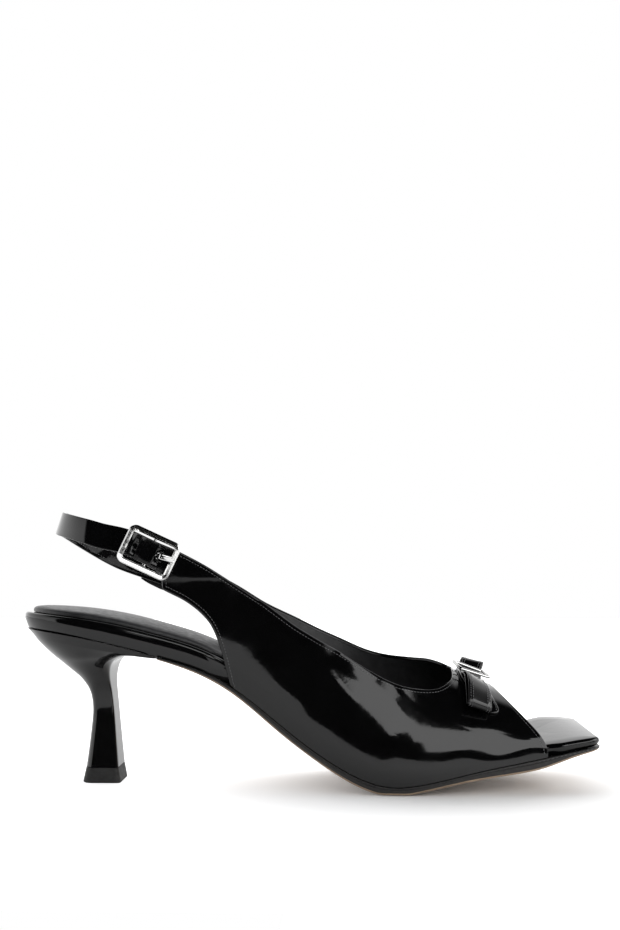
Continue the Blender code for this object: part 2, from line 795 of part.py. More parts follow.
def build_sling_buckle_prong(material):
    top = FRAME_LIFT + 0.5 * BUCKLE_THICK + GAP + 0.5 * PRONG_THICK
    start = 0.5 * PIN_DIAMETER + GAP + 0.1
    corners = [at_buckle(s, w, lift) for s, w, lift in (
        (start, 0.0, PIN_LIFT), (2.7, 0.0, PIN_LIFT),
        (5.2, 0.3, top - 0.4), (0.5 * BUCKLE_LENGTH - 0.5, 0.9, top))]
    tube("sling_buckle_prong", round_path(corners, 0.8), PRONG_WIDTH, PRONG_THICK, material)


@functools.lru_cache(maxsize=None)
def vamp_runs(x, steps=60):
    """Points over the vamp at x from the outer to the inner side, and their distance from the ridge."""
    over = [last_point(x, -1, 0.5 * math.pi * k / steps) for k in range(steps + 1)]
    over += [last_point(x, 1, 0.5 * math.pi * (1 - k / steps)) for k in range(1, steps + 1)]
    run = [0.0] + list(np.cumsum([np.linalg.norm(b - a) for a, b in zip(over, over[1:])]))
    return np.array(over), np.array(run) - run[steps]


def on_vamp(x, q, lift):
    """Point on the vamp at x, q along its section from the bow's middle, lifted off the surface."""
    def surface(at_x, at_q):
        over, run = vamp_runs(at_x)
        return np.array([np.interp(at_q, run, over[:, k]) for k in range(3)])

    step = 0.6
    along = surface(x + step, q) - surface(x - step, q)
    round_over = surface(x, q + step) - surface(x, q - step)
    return surface(x, q) + lift * unit(np.cross(along, round_over))


TAIL_LIFT = GAP + 0.5 * BOW_THICK
BAND_LIFT = TAIL_LIFT + BOW_THICK + GAP
BOW_FRAME_LIFT = BAND_LIFT + 0.5 * BOW_THICK + 2 * GAP + 0.5 * BOW_FRAME_THICK


def strip(name, path, material, half_at, shift_at):
    """Flat leather strip: path holds (q, lift) pairs across the vamp."""
    path = [np.array(p, float) for p in path]
    rings = []
    for i, p in enumerate(path):
        tangent = unit(path[min(i + 1, len(path) - 1)] - path[max(i - 1, 0)])
        up = np.array((-tangent[1], tangent[0]))
        low = p - 0.5 * BOW_THICK * up
        high = p + 0.5 * BOW_THICK * up
        half = half_at(p[0])
        middle = BOW_X + shift_at(p[0])
        ring = [on_vamp(middle + e * half, BOW_MIDDLE + low[0], low[1]) for e in (-1, -0.4, 0.4, 1)]
        ring += [on_vamp(middle + e * half, BOW_MIDDLE + high[0], high[1]) for e in (1, 0.4, -0.4, -1)]
        rings.append(ring)
    loft(name, rings, material)


def build_bow_tails(material):
    def half_at(q):
        past = max(abs(q) - (TAIL_REACH - TAIL_TIP), 0.0) / TAIL_TIP
        return 0.5 * BOW_WIDTH * math.sqrt(max(1 - past ** 2, 0.12))

    def shift_at(q):
        return TAIL_SHIFT * ease(abs(q), 5.0, TAIL_REACH)

    tips = [TAIL_REACH - TAIL_TIP * part for part in (0.0, 0.15, 0.45, 1.0)]
    run = [-q for q in tips] + list(np.linspace(-21.0, 21.0, 15)) + tips[::-1]
    strip("bow_tails", [(q, TAIL_LIFT) for q in run], material, half_at, shift_at)


def build_bow_band(material):
    """One strip: both ends start under the loops, fold round and meet over the middle."""
    reach = column(BOW_LOOP, "reach")
    fold = reach[-1]
    turn = 0.5 * BOW_FOLD
    path = []
    for side, name in ((1, "inner"), (-1, "outer")):
        lift = steady_curve(reach, column(BOW_LOOP, name))
        half_path = [(side * q, BAND_LIFT) for q in BOW_UNDER + (fold,)]
        for degrees in (45, 90, 135):
            angle = math.radians(degrees)
            half_path.append((side * (fold + turn * math.sin(angle)), BAND_LIFT + turn * (1 - math.cos(angle))))
        half_path += [(side * q, BAND_LIFT + lift(q)) for q in np.linspace(fold, 0.0, 14)]
        path += half_path if side > 0 else half_path[-2::-1]
    strip("bow_band", path, material, lambda q: 0.5 * BOW_WIDTH, lambda q: 0.0)


def build_bow_buckle_frame(material):
    def place(s, w, h):
        return on_vamp(BOW_X + 0.6 + s, BOW_MIDDLE + w, BOW_FRAME_LIFT + h)

    length, across = BOW_FRAME
    rings = frame_rings(length, across, BOW_FRAME_BAR, BOW_FRAME_THICK, 1.9, place, arc_points=3)
    loft("bow_buckle_frame", rings, material, closed_path=True)


def centre_on_floor():
    """Moves the shoe so that the middle of its box stands on the origin."""
    bpy.context.view_layer.update()
    solids = [o for o in bpy.data.objects if o.type == "MESH" and not o.hide_render]
    corners = np.array([v.co for o in solids for v in o.data.vertices])
    low = corners.min(axis=0)
    high = corners.max(axis=0)
    shoe.location = (-0.5 * (low[0] + high[0]), -0.5 * (low[1] + high[1]), 0.0)


for old in list(bpy.data.objects):
    bpy.data.objects.remove(old, do_unlink=True)
shoe = bpy.data.objects.new("shoe", None)
bpy.context.collection.objects.link(shoe)

patent = finish("black_patent")
metal = finish("bright_metal")
build_outsole(finish("black_sole_edge"))
build_insole(patent)
build_sock(finish("grey_sock"))
build_heel(finish("black_gloss_heel"))
build_top_lift(finish("black_rubber"))
build_upper(patent)
build_sling_strap(patent)
build_sling_buckle_frame(metal)
build_sling_buckle_pin(metal)
build_sling_buckle_prong(metal)
build_bow_tails(patent)
build_bow_band(patent)
build_bow_buckle_frame(metal)
centre_on_floor()
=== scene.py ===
"""Looks of a right slingback shoe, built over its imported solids.

Sizes in the tables are millimetres in the shoe's own plan: x from the back of the heel to the toe,
y from the outer to the inner side, z up from the floor. Meshes are placed in metres in the row frame.
"""

import functools
import math

import bmesh
import bpy
import numpy as np
from bpy.props import FloatProperty, FloatVectorProperty, PointerProperty
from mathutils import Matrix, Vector


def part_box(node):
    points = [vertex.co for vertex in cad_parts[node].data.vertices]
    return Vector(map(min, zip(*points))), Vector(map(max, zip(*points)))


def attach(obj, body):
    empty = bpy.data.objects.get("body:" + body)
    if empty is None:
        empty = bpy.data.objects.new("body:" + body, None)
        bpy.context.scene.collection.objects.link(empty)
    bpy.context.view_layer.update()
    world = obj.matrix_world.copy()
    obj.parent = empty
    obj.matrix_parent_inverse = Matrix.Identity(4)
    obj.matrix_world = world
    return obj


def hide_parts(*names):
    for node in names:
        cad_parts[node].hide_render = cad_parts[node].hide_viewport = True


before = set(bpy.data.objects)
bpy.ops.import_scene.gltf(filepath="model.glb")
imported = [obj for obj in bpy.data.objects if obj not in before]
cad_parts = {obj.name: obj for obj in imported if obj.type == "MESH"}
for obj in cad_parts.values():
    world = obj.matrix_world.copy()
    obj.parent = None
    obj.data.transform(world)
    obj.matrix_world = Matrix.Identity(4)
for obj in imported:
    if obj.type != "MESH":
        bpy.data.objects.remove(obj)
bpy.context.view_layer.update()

bl_info = {
    "name": "Slingback Shoe",
    "version": (1, 0, 0),
    "blender": (4, 5, 0),
    "location": "View3D > Sidebar > Slingback",
    "description": "Patent slingback with an open toe, a flared heel, a buckled strap and a bow",
    "category": "Object",
}

MM = 0.001
BODY = "root"

# Shape of the last, the sole and the heel
SHOE_LENGTH = 229.8
TOE_CORNER = 4.5
HEEL_ARC = 30.0
GAP = 0.3
WALL = 1.7
SOLE_START = 57.3
EDGE_STEP = 0.3
BED_INSET = 2.5
BED_LEAN = 0.4
SOCK_INSET = 3.4
SOCK_END = 172.0
LAST_POWER = 2.3
EASE_START = 90.0
EASE_END = 150.0
WALL_START = (77.0, 83.5)
WALL_END = (208.6, 215.0)
RIDGE_ANGLE = 0.5 * math.pi

OUTLINE = (
    ("x", "lateral", "medial"),
    (30, 26.4, 26.4),
    (45, 26.3, 26.0),
    (60, 25.4, 24.6),
    (80, 24.7, 22.6),
    (100, 26.6, 22.8),
    (120, 31.2, 27.2),
    (138, 35.6, 33.4),
    (152, 37.2, 37.2),
    (166, 36.8, 38.4),
    (182, 34.6, 37.0),
    (198, 31.6, 34.8),
    (214, 28.6, 32.2),
    (230, 26.0, 29.6),
)
BED = (
    ("x", "under", "thick", "cant"),
    (0, 62.9, 6.4, 0.0),
    (17, 61.2, 6.8, 0.0),
    (41, 56.4, 8.0, 0.0),
    (57, 52.1, 8.3, 0.0),
    (75, 46.3, 8.3, 0.0),
    (84, 41.7, 8.2, 0.0),
    (93, 35.6, 7.6, 0.0),
    (102, 28.6, 7.0, 0.0),
    (111, 21.6, 6.3, 0.0),
    (121, 14.6, 5.6, 0.0),
    (131, 8.8, 5.0, 0.0),
    (140, 5.0, 4.6, 0.0),
    (148, 3.4, 4.4, 0.0),
    (158, 4.0, 4.3, 0.0),
    (178, 8.2, 4.3, 0.3),
    (198, 12.0, 4.3, 2.2),
    (208, 13.8, 4.3, 4.0),
    (219, 16.0, 4.0, 3.2),
    (230, 18.1, 3.4, 0.6),
)
SOLE = (
    ("x", "bottom"),
    (57, 50.9),
    (67, 47.5),
    (75, 44.1),
    (84, 39.0),
    (93, 32.4),
    (102, 24.9),
    (111, 17.9),
    (121, 11.0),
    (130, 5.5),
    (138, 1.8),
    (148, -0.5),
    (158, 0.6),
    (178, 4.8),
    (188, 6.3),
    (198, 7.6),
    (207, 9.3),
    (217, 12.6),
    (230, 16.6),
)
LAST = (
    ("x", "ridge", "ridge_y", "belly"),
    (40, 172.0, 0.0, 6.6),
    (60, 150.0, 0.0, 6.2),
    (86, 127.0, 1.0, 5.4),
    (104, 106.0, 3.0, 3.6),
    (122, 84.0, 5.0, 1.8),
    (138, 67.0, 6.0, 1.0),
    (152, 57.4, 6.0, 0.8),
    (164, 50.8, 5.6, 0.5),
    (174, 45.9, 5.2, 0.3),
    (184, 41.3, 4.6, 0.1),
    (194, 37.5, 4.0, 0.0),
    (209, 31.6, 3.0, 0.0),
)

# Ribs of the upper: a lower edge of ON_SOLE follows the sole, a top edge of ON_RIDGE the ridge
ON_SOLE = None
ON_RIDGE = None
LATERAL_RIBS = (
    ("x_low", "z_low", "x_top", "z_top"),
    (54.1, 88.4, 58.0, 96.6),
    (57.5, 86.4, 61.4, 95.2),
    (59.8, 84.6, 64.0, 94.1),
    (60.2, 79.0, 66.2, 93.0),
    (67.4, 75.3, 74.5, 88.6),
    (73.6, 70.9, 81.5, 84.3),
    (78.2, 65.8, 88.4, 79.7),
    (81.2, 59.5, 92.2, 77.2),
    (83.4, 52.4, 96.0, 74.7),
    (85.0, 45.6, 99.6, 72.2),
    (86.6, ON_SOLE, 103.2, 69.4),
    (96.0, ON_SOLE, 110.0, 64.2),
    (108.0, ON_SOLE, 119.0, 58.4),
    (121.0, ON_SOLE, 131.0, 51.2),
    (134.0, ON_SOLE, 142.0, 44.8),
    (146.0, ON_SOLE, 151.0, 40.8),
    (156.0, ON_SOLE, 159.5, 39.3),
    (165.0, ON_SOLE, 166.0, 39.4),
    (172.0, ON_SOLE, 170.8, 41.3),
    (177.0, ON_SOLE, 173.4, 43.6),
    (181.0, ON_SOLE, 174.4, ON_RIDGE),
    (188.0, ON_SOLE, 178.2, ON_RIDGE),
    (195.0, ON_SOLE, 182.2, ON_RIDGE),
    (202.0, ON_SOLE, 186.3, ON_RIDGE),
    (208.6, ON_SOLE, 190.4, ON_RIDGE),
)
MEDIAL_RIBS = (
    ("x_low", "z_low", "x_top", "z_top"),
    (43.0, 82.4, 46.4, 91.8),
    (46.6, 80.2, 51.6, 90.6),
    (50.8, 78.2, 57.4, 89.4),
    (57.6, 76.4, 64.0, 88.0),
    (66.4, 73.4, 72.6, 85.0),
    (73.0, 69.8, 80.0, 81.3),
    (77.8, 64.8, 86.6, 77.5),
    (80.8, 58.8, 91.0, 74.7),
    (83.2, 52.0, 95.0, 72.2),
    (84.9, 45.4, 99.0, 70.0),
    (86.6, ON_SOLE, 103.2, 67.9),
    (96.0, ON_SOLE, 110.0, 64.6),
    (108.0, ON_SOLE, 119.0, 60.0),
    (121.0, ON_SOLE, 131.0, 54.3),
    (134.0, ON_SOLE, 142.0, 50.0),
    (146.0, ON_SOLE, 151.0, 48.3),
    (156.0, ON_SOLE, 159.5, 48.0),
    (165.0, ON_SOLE, 166.0, 48.0),
    (172.0, ON_SOLE, 170.8, 46.9),
    (177.0, ON_SOLE, 173.4, 45.9),
    (181.0, ON_SOLE, 174.4, ON_RIDGE),
    (188.0, ON_SOLE, 178.2, ON_RIDGE),
    (195.0, ON_SOLE, 182.2, ON_RIDGE),
    (202.0, ON_SOLE, 186.3, ON_RIDGE),
    (208.6, ON_SOLE, 190.4, ON_RIDGE),
)

# Creases and swells of the vamp leather: side, place along the shoe, height, length along
# the shoe, height of the swell and how far it stands out (negative for a hollow)
CREASES = (
    ("side", "x", "z", "along", "tall", "depth"),
    (-1, 203.0, 20.5, 5.5, 4.0, 0.30),
    (-1, 189.0, 19.5, 5.5, 4.0, -0.28),
    (-1, 176.0, 18.5, 6.0, 4.0, 0.16),
    (-1, 76.0, 83.0, 9.0, 4.2, 0.28),
    (-1, 97.0, 60.0, 9.0, 4.0, 0.10),
    (-1, 118.0, 33.0, 10.0, 5.0, -0.12),
    (1, 200.0, 21.0, 5.5, 4.0, 0.26),
    (1, 187.0, 20.0, 5.5, 4.0, -0.24),
    (1, 74.0, 76.0, 9.0, 4.2, 0.22),
    (1, 120.0, 36.0, 10.0, 5.0, -0.14),
)

HEEL = (
    ("x_back", "z_back", "x_front", "z_front", "half", "round", "square"),
    (3.4, 60.0, 56.6, 51.0, 25.2, 26.6, 2.0),
    (6.3, 56.4, 47.8, 51.9, 23.6, 22.0, 2.0),
    (11.4, 51.7, 42.4, 51.4, 21.2, 16.0, 2.0),
    (15.0, 48.9, 38.6, 49.8, 18.4, 12.5, 2.1),
    (19.1, 45.5, 36.5, 47.0, 15.0, 9.5, 2.2),
    (22.4, 42.7, 35.9, 43.6, 12.0, 7.4, 2.3),
    (24.6, 40.0, 35.9, 40.8, 9.7, 6.2, 2.4),
    (26.6, 36.4, 36.3, 37.0, 7.9, 5.2, 2.6),
    (27.7, 29.4, 37.1, 29.6, 7.1, 4.6, 2.8),
    (27.0, 20.0, 37.9, 20.2, 7.7, 4.8, 2.9),
    (26.1, 12.0, 38.6, 12.0, 8.5, 5.2, 3.0),
    (25.3, 6.3, 39.1, 6.3, 9.1, 5.5, 3.0),
)
LIFT = (
    ("x_back", "z_back", "x_front", "z_front", "half", "round", "square"),
    (25.2, 6.0, 39.1, 6.0, 9.1, 5.5, 3.0),
    (24.0, 0.2, 40.1, 0.2, 9.8, 5.9, 3.0),
    (24.2, 0.0, 39.9, 0.0, 9.6, 5.8, 3.0),
)

STRAP_THICK = 1.6
IN_WING = None
STRAP = (
    ("x", "y", "z", "width", "lean"),
    (36.0, -30.1, 99.3, 9.9, 0.02),
    (31.0, -28.9, 100.8, 9.7, 0.06),
    (27.0, -26.8, 101.9, 9.5, 0.10),
    (22.4, -22.3, 103.1, 9.4, 0.18),
    (18.4, -16.0, 104.0, 9.4, 0.26),
    (15.0, 0.0, 104.7, 9.6, 0.38),
    (19.0, 14.6, 100.5, 9.4, 0.28),
    (26.6, 23.2, 95.0, 9.3, 0.12),
    (35.0, 26.2, 90.4, 9.3, 0.04),
    (44.0, IN_WING, 86.9, 9.0, 0.0),
    (49.0, IN_WING, 85.2, 9.0, 0.0),
    (55.0, IN_WING, 83.0, 8.8, 0.0),
)
STRAP_AT_BUCKLE = 9.7
STRAP_TAIL = 8.4
PRONG_SLOT = (2.4, 5.6)
PRONG_SLOT_WIDTH = 2.6
TONGUE_SLOT = (-2.0, 5.6)
SLOT_WIDTH = 3.0
STRAP_HOLE = -6.0
STRAP_HOLE_RADIUS = 0.95

BUCKLE_CENTRE = (54.9, 92.9)
BUCKLE_SLOPE = math.radians(25.0)
BUCKLE_LENGTH = 20.6
BUCKLE_HEIGHT = 15.0
BUCKLE_BAR = 2.1
BUCKLE_THICK = 1.9
BUCKLE_CORNER = 2.6
PIN_DIAMETER = 1.6
PRONG_WIDTH = 2.2
PRONG_THICK = 1.2

# Lifts off the wing, with a little more room than the gap under the strap and round the metal
STRAP_ROOM = 0.25
METAL_ROOM = 0.1
STRAP_LIFT = GAP + 0.5 * STRAP_THICK + STRAP_ROOM
FRAME_LIFT = STRAP_LIFT + 0.5 * STRAP_THICK + GAP + 0.5 * BUCKLE_THICK + METAL_ROOM
PIN_LIFT = STRAP_LIFT - 0.5 * STRAP_THICK - GAP - 0.5 * PIN_DIAMETER - METAL_ROOM
PIN_END_LIFT = FRAME_LIFT - 0.5 * BUCKLE_THICK - GAP

BOW_X = 181.4
BOW_MIDDLE = -6.4
BOW_WIDTH = 9.6
BOW_THICK = 0.7
BOW_FOLD = 2.6
TAIL_REACH = 28.6
TAIL_SHIFT = 4.8
TAIL_TIP = 4.0
BOW_FRAME = (14.0, 11.0)
BOW_FRAME_BAR = 1.5
BOW_FRAME_THICK = 1.2
BOW_FRAME_CORNER = 1.9
BOW_LOOP = (
    ("reach", "outer", "inner"),
    (0.0, 0.0, 0.0),
    (4.0, 0.02, 0.02),
    (7.0, 0.1, 0.3),
    (9.5, 0.6, 1.8),
    (12.5, 1.6, 3.8),
    (16.0, 2.5, 4.6),
    (20.0, 2.9, 4.5),
    (26.0, 2.6, 2.6),
)
BOW_UNDER = 9.0
TAIL_LIFT = GAP + 0.5 * BOW_THICK
BAND_LIFT = TAIL_LIFT + BOW_THICK + GAP
BOW_FRAME_LIFT = BAND_LIFT + 0.5 * BOW_THICK + 2 * GAP + 0.5 * BOW_FRAME_THICK

# The plan's zero in the row frame
PLACE = np.array((
    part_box("outsole")[1].x / MM - SHOE_LENGTH,
    0.5 * (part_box("heel_top_lift")[0].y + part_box("heel_top_lift")[1].y) / MM,
    0.0,
))

# Fineness of the visual meshes: counts, spacings in millimetres and angles in degrees
RIB_FINE = 8
RIB_POINTS = 41
RIM_STEPS = 4
HEEL_STEPS = 6
LIFT_STEPS = 3
HEEL_BACK_POINTS = 41
HEEL_FLANK_POINTS = 10
HEEL_CORNER_POINTS = 6
HEEL_FRONT_POINTS = 12
PLAN_SPACING = 2.0
PLAN_END_POINTS = 26
PLAN_BACK_ANGLES = range(4, 90, 4)
PLAN_CORNER_ANGLES = range(12, 91, 13)
BED_ROLL_ANGLES = range(0, 91, 18)
STRAP_STATIONS = 240
STRAP_ROUND_ANGLES = (0, 22.5, 45, 67.5, 90)
STRAP_CROWN_AT = (0.75, 0.4, 0.0, -0.4, -0.75)
STRIP_EDGES = (-1.0, -0.97, -0.9, -0.6, -0.3, 0.0, 0.3, 0.6, 0.9, 0.97, 1.0)
SLOT_POINTS = 32
TUBE_POINTS = 32
BAR_POINTS = 20
BUCKLE_ARC_POINTS = 12
BOW_FRAME_ARC_POINTS = 10
BOW_FRAME_SPACING = 1.0
VAMP_STEPS = 240
TAIL_POINTS = 63
TAIL_TIP_ANGLES = range(0, 91, 10)
UNDER_POINTS = 20
LOOP_POINTS = 66
LOOP_FOLD_ANGLES = range(15, 180, 15)

# Points closer than MERGE are joined, and faces thinner than SLIVER are dissolved
MERGE = 0.002
SLIVER = 0.0005


def column(table, name):
    """One named column of a table whose first row holds the names."""
    at = table[0].index(name)
    return [row[at] for row in table[1:]]


def smooth_curve(xs, ys):
    """Natural cubic curve through the points, straight beyond its ends."""
    xs = np.asarray(xs, float)
    ys = np.asarray(ys, float)
    step = np.diff(xs)
    rise = np.diff(ys) / step
    count = len(xs)
    system = np.eye(count)
    right = np.zeros(count)
    for i in range(1, count - 1):
        system[i, i - 1:i + 2] = step[i - 1], 2 * (step[i - 1] + step[i]), step[i]
        right[i] = 6 * (rise[i] - rise[i - 1])
    bend = np.linalg.solve(system, right)
    first = rise[0] - step[0] * (2 * bend[0] + bend[1]) / 6
    final = rise[-1] + step[-1] * (2 * bend[-1] + bend[-2]) / 6

    def value(x):
        x = np.asarray(x, float)
        i = np.clip(np.searchsorted(xs, x) - 1, 0, count - 2)
        slope = rise[i] - step[i] * (2 * bend[i] + bend[i + 1]) / 6
        d = np.clip(x, xs[0], xs[-1]) - xs[i]
        inside = ys[i] + d * (slope + d * (bend[i] / 2 + d * (bend[i + 1] - bend[i]) / (6 * step[i])))
        return inside + first * np.minimum(x - xs[0], 0.0) + final * np.maximum(x - xs[-1], 0.0)

    return value


def steady_curve(xs, ys):
    """Cubic curve through the points that never swings past them."""
    xs = np.asarray(xs, float)
    ys = np.asarray(ys, float)
    step = np.diff(xs)
    rise = np.diff(ys) / step
    slope = np.zeros(len(xs))
    slope[0] = rise[0]
    slope[-1] = rise[-1]
    for i in range(1, len(xs) - 1):
        if rise[i - 1] * rise[i] > 0:
            before = 2 * step[i] + step[i - 1]
            after = step[i] + 2 * step[i - 1]
            slope[i] = (before + after) / (before / rise[i - 1] + after / rise[i])

    def value(x):
        x = np.asarray(x, float)
        i = np.clip(np.searchsorted(xs, x) - 1, 0, len(xs) - 2)
        t = (x - xs[i]) / step[i]
        keep = (1 + 2 * t) * (1 - t) ** 2
        lead = t * (1 - t) ** 2 * step[i] * slope[i]
        come = t * t * (3 - 2 * t)
        tail = t * t * (t - 1) * step[i] * slope[i + 1]
        return keep * ys[i] + lead + come * ys[i + 1] + tail

    return value


def table_curve(table, name):
    return smooth_curve(column(table, "x"), column(table, name))


def ease(value, start, end):
    """0 before start, 1 after end, smooth between."""
    t = np.clip((np.asarray(value, float) - start) / (end - start), 0.0, 1.0)
    return t * t * (3 - 2 * t)


def unit(vectors):
    """Vectors scaled to length one."""
    length = np.linalg.norm(vectors, axis=-1, keepdims=True)
    return vectors / np.maximum(length, 1e-12)


outline_curve = {-1: table_curve(OUTLINE, "lateral"), 1: table_curve(OUTLINE, "medial")}
bed_under = table_curve(BED, "under")
bed_thick = table_curve(BED, "thick")
bed_cant = table_curve(BED, "cant")
sole_dip = table_curve(SOLE, "bottom")
ridge = table_curve(LAST, "ridge")
ridge_y = table_curve(LAST, "ridge_y")
belly = table_curve(LAST, "belly")


def sole_bottom(x):
    """Underside of the outsole, flat on the floor under the ball."""
    return np.maximum(sole_dip(x), 0.0)


def half_width(x, side, inset=0.0):
    """Half width of the sole at x, pulled in by inset all round."""
    x = np.asarray(x, float)
    half = outline_curve[side](np.maximum(x, HEEL_ARC)) - inset
    back = np.clip((HEEL_ARC - x) / (HEEL_ARC - inset), 0.0, 1.0)
    past = np.clip(x - (SHOE_LENGTH - inset - TOE_CORNER), 0.0, TOE_CORNER)
    return half * np.sqrt(1 - back ** 2) - TOE_CORNER + np.sqrt(TOE_CORNER ** 2 - past ** 2)


def bed_inset(x):
    """How far the footbed's side is pulled in to sit inside the upper's wall."""
    return BED_INSET * (ease(x, *WALL_START) - ease(x, *WALL_END))


def bed_top(x, y):
    """Top of the footbed, which rises towards the inner side at the toe."""
    lateral = half_width(x, -1)
    part = (y + lateral) / np.maximum(lateral + half_width(x, 1), 1e-6)
    return bed_under(x) + bed_thick(x) + bed_cant(x) * np.clip(part, 0.0, 1.0)


def last_point(x, side, theta, inset=0.0):
    """Points of the last's surface: theta 0 at the sole's edge and a right angle at the ridge."""
    x, theta = np.broadcast_arrays(np.asarray(x, float), np.asarray(theta, float))
    base = bed_under(x)
    height = np.maximum(ridge(x) - base - inset, 1.0)
    middle = ridge_y(x)
    reach = side * (outline_curve[side](x) - EDGE_STEP - inset) - middle
    rise = np.sin(theta) ** (2 / LAST_POWER)
    across = np.maximum(np.cos(theta), 0.0) ** (2 / LAST_POWER)
    across = np.where(theta > RIDGE_ANGLE - 1e-9, 0.0, across)
    bulge = side * belly(x) * 4 * rise * (1 - rise)
    return np.stack((x, middle + reach * across + bulge, base + height * rise), axis=-1)


def last_angle(x, z):
    """Angle at which the last's surface reaches height z."""
    rise = (z - bed_under(x)) / (ridge(x) - bed_under(x))
    return np.arcsin(np.clip(rise, 0.0, 1.0) ** (LAST_POWER / 2))


def add_object(name, data):
    """Object for a mesh, a lamp or a camera, linked into the scene."""
    thing = bpy.data.objects.new(name, data)
    bpy.context.scene.collection.objects.link(thing)
    return thing


def discard(thing):
    """Removes an object and its mesh."""
    mesh = thing.data
    bpy.data.objects.remove(thing)
    bpy.data.meshes.remove(mesh)


def finished_mesh(thing):
    """Plain mesh of an object with its modifiers applied."""
    bpy.context.view_layer.update()
    return bpy.data.meshes.new_from_object(thing.evaluated_get(bpy.context.evaluated_depsgraph_get()))


def new_piece(name, points, faces, finishes, marks=None, sharp=40.0):
    """Piece from plan points in millimetres. marks gives each face's place in the list of finishes."""
    mesh = bpy.data.meshes.new(name)
    mesh.from_pydata((MM * (np.asarray(points, float) + PLACE)).tolist(), [], faces)
    for material in finishes:
        mesh.materials.append(material)
    if marks is not None:
        mesh.polygons.foreach_set("material_index", marks)
    work = bmesh.new()
    work.from_mesh(mesh)
    bmesh.ops.remove_doubles(work, verts=work.verts, dist=MM * MERGE)
    bmesh.ops.dissolve_degenerate(work, edges=work.edges, dist=MM * SLIVER)
    bmesh.ops.recalc_face_normals(work, faces=work.faces)
    work.to_mesh(mesh)
    work.free()
    mesh.shade_smooth()
    mesh.set_sharp_from_angle(angle=math.radians(sharp))
    return add_object(name, mesh)


def settle(piece, slot, *nodes):
    """The piece rides on the shoe and stands for its CAD nodes. slot is not used."""
    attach(piece, BODY)
    if nodes:
        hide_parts(*nodes)
    return piece


def ring_faces(rings, count, closed_path=False):
    """Faces between closed rings of count points, each ring joined to the next."""
    faces = []
    for i in range(rings if closed_path else rings - 1):
        here = i * count
        there = (i + 1) % rings * count
        for j in range(count):
            k = (j + 1) % count
            faces.append((here + j, here + k, there + k, there + j))
    return faces


def loft(name, rings, finishes, closed_path=False, sharp=40.0):
    """Skin through closed rings, with flat ends unless its path is closed."""
    points = np.array(rings, float).reshape(-1, 3)
    count = len(rings[0])
    faces = ring_faces(len(rings), count, closed_path)
    if not closed_path:
        faces += [tuple(range(count)), tuple(range(len(points) - count, len(points)))]
    return new_piece(name, points, faces, finishes, sharp=sharp)


def row_skin(name, rows, row_marks, finishes):
    """Skin between rows of points that all follow one closed path."""
    count = len(rows[0])
    faces = ring_faces(len(rows), count)
    return new_piece(name, np.concatenate(rows), faces, finishes, np.repeat(row_marks, count).tolist())


def plan_path(start, end, inset, extra, round_back=True, round_toe=True):
    """Edge of a plan, from the back round the outer side, the toe and the inner side.

    Returns the points and the directions inward.
    """
    stations = []
    first = start
    if round_back:
        arc = HEEL_ARC - inset
        stations += [HEEL_ARC - arc * math.cos(math.radians(a)) for a in PLAN_BACK_ANGLES]
        first = HEEL_ARC
    last = end - TOE_CORNER if round_toe else end
    stations += list(np.linspace(first, last, int((last - first) / PLAN_SPACING) + 1))
    if round_toe:
        stations += [last + TOE_CORNER * math.sin(math.radians(a)) for a in PLAN_CORNER_ANGLES]
    xs = np.array(stations)
    outer, inner = (side * (half_width(xs, side, inset) - extra(xs)) for side in (-1, 1))
    front = np.linspace(outer[-1], inner[-1], PLAN_END_POINTS)[1:-1]
    points = list(zip(xs, outer)) + [(xs[-1], y) for y in front] + list(zip(xs, inner))[::-1]
    if round_back:
        points.append((start, 0.0))
    else:
        points += [(start, y) for y in np.linspace(inner[0], outer[0], PLAN_END_POINTS)[1:-1]]
    path = np.array(points)
    along = unit(np.roll(path, -1, axis=0) - np.roll(path, 1, axis=0))
    return path, np.stack((-along[:, 1], along[:, 0]), axis=-1)


def to_spine(edge, spine_start, spine_end, parts, height):
    """Rows from an edge row in to the plan's middle line, at the given parts of the way."""
    spine_x = np.clip(edge[:, 0], spine_start, spine_end)
    spine_y = 0.5 * (half_width(spine_x, 1) - half_width(spine_x, -1))
    rows = []
    for part in parts:
        x = edge[:, 0] + (spine_x - edge[:, 0]) * part
        y = edge[:, 1] + (spine_y - edge[:, 1]) * part
        rows.append(np.stack((x, y, height(x, y, part)), axis=-1))
    return rows


def edge_row(path, inward, depth, height):
    """Row of points moved in from a plan's edge, at the height that belongs to their new place."""
    moved = path + inward * np.reshape(depth, (-1, 1))
    return np.column_stack((moved, height(moved[:, 0], moved[:, 1])))


SPINE_PARTS = (0.25, 0.5, 0.75, 1.0)
SOLE_SPINE = (SOLE_START + 15.0, SHOE_LENGTH - 20.0)
SOLE_BEVEL = 1.1
SOLE_BEVEL_PART = 0.45
GROOVE_UP = 0.66
GROOVE_TALL = 0.05
GROOVE_DEPTH = 0.22
GROOVE_FULL = 3.0

# Rows down the outsole's edge: how far in, as a size and as parts of the groove and of the bevel, and how far
# up the edge and the bevel under it. The last gaps between them are tan
SOLE_EDGE = (
    ("inside", "of_groove", "of_bevel", "part_up", "bevel_up"),
    (1.0, 0.0, 0.0, 1.0, 1.0),
    (0.15, 0.0, 0.0, 1.0, 1.0),
    (0.0, 0.0, 0.0, 0.96, 1.0),
    (0.0, 0.0, 0.0, GROOVE_UP + GROOVE_TALL, 1.0),
    (0.0, 1.0, 0.0, GROOVE_UP, 1.0),
    (0.0, 0.0, 0.0, GROOVE_UP - GROOVE_TALL, 1.0),
    (0.0, 0.0, 0.0, 0.0, 1.0),
    (0.0, 0.0, 0.22, 0.0, 0.58),
    (0.0, 0.0, 0.5, 0.0, 0.3),
    (0.0, 0.0, 2.4, 0.0, 0.0),
)
TAN_GAPS = 3


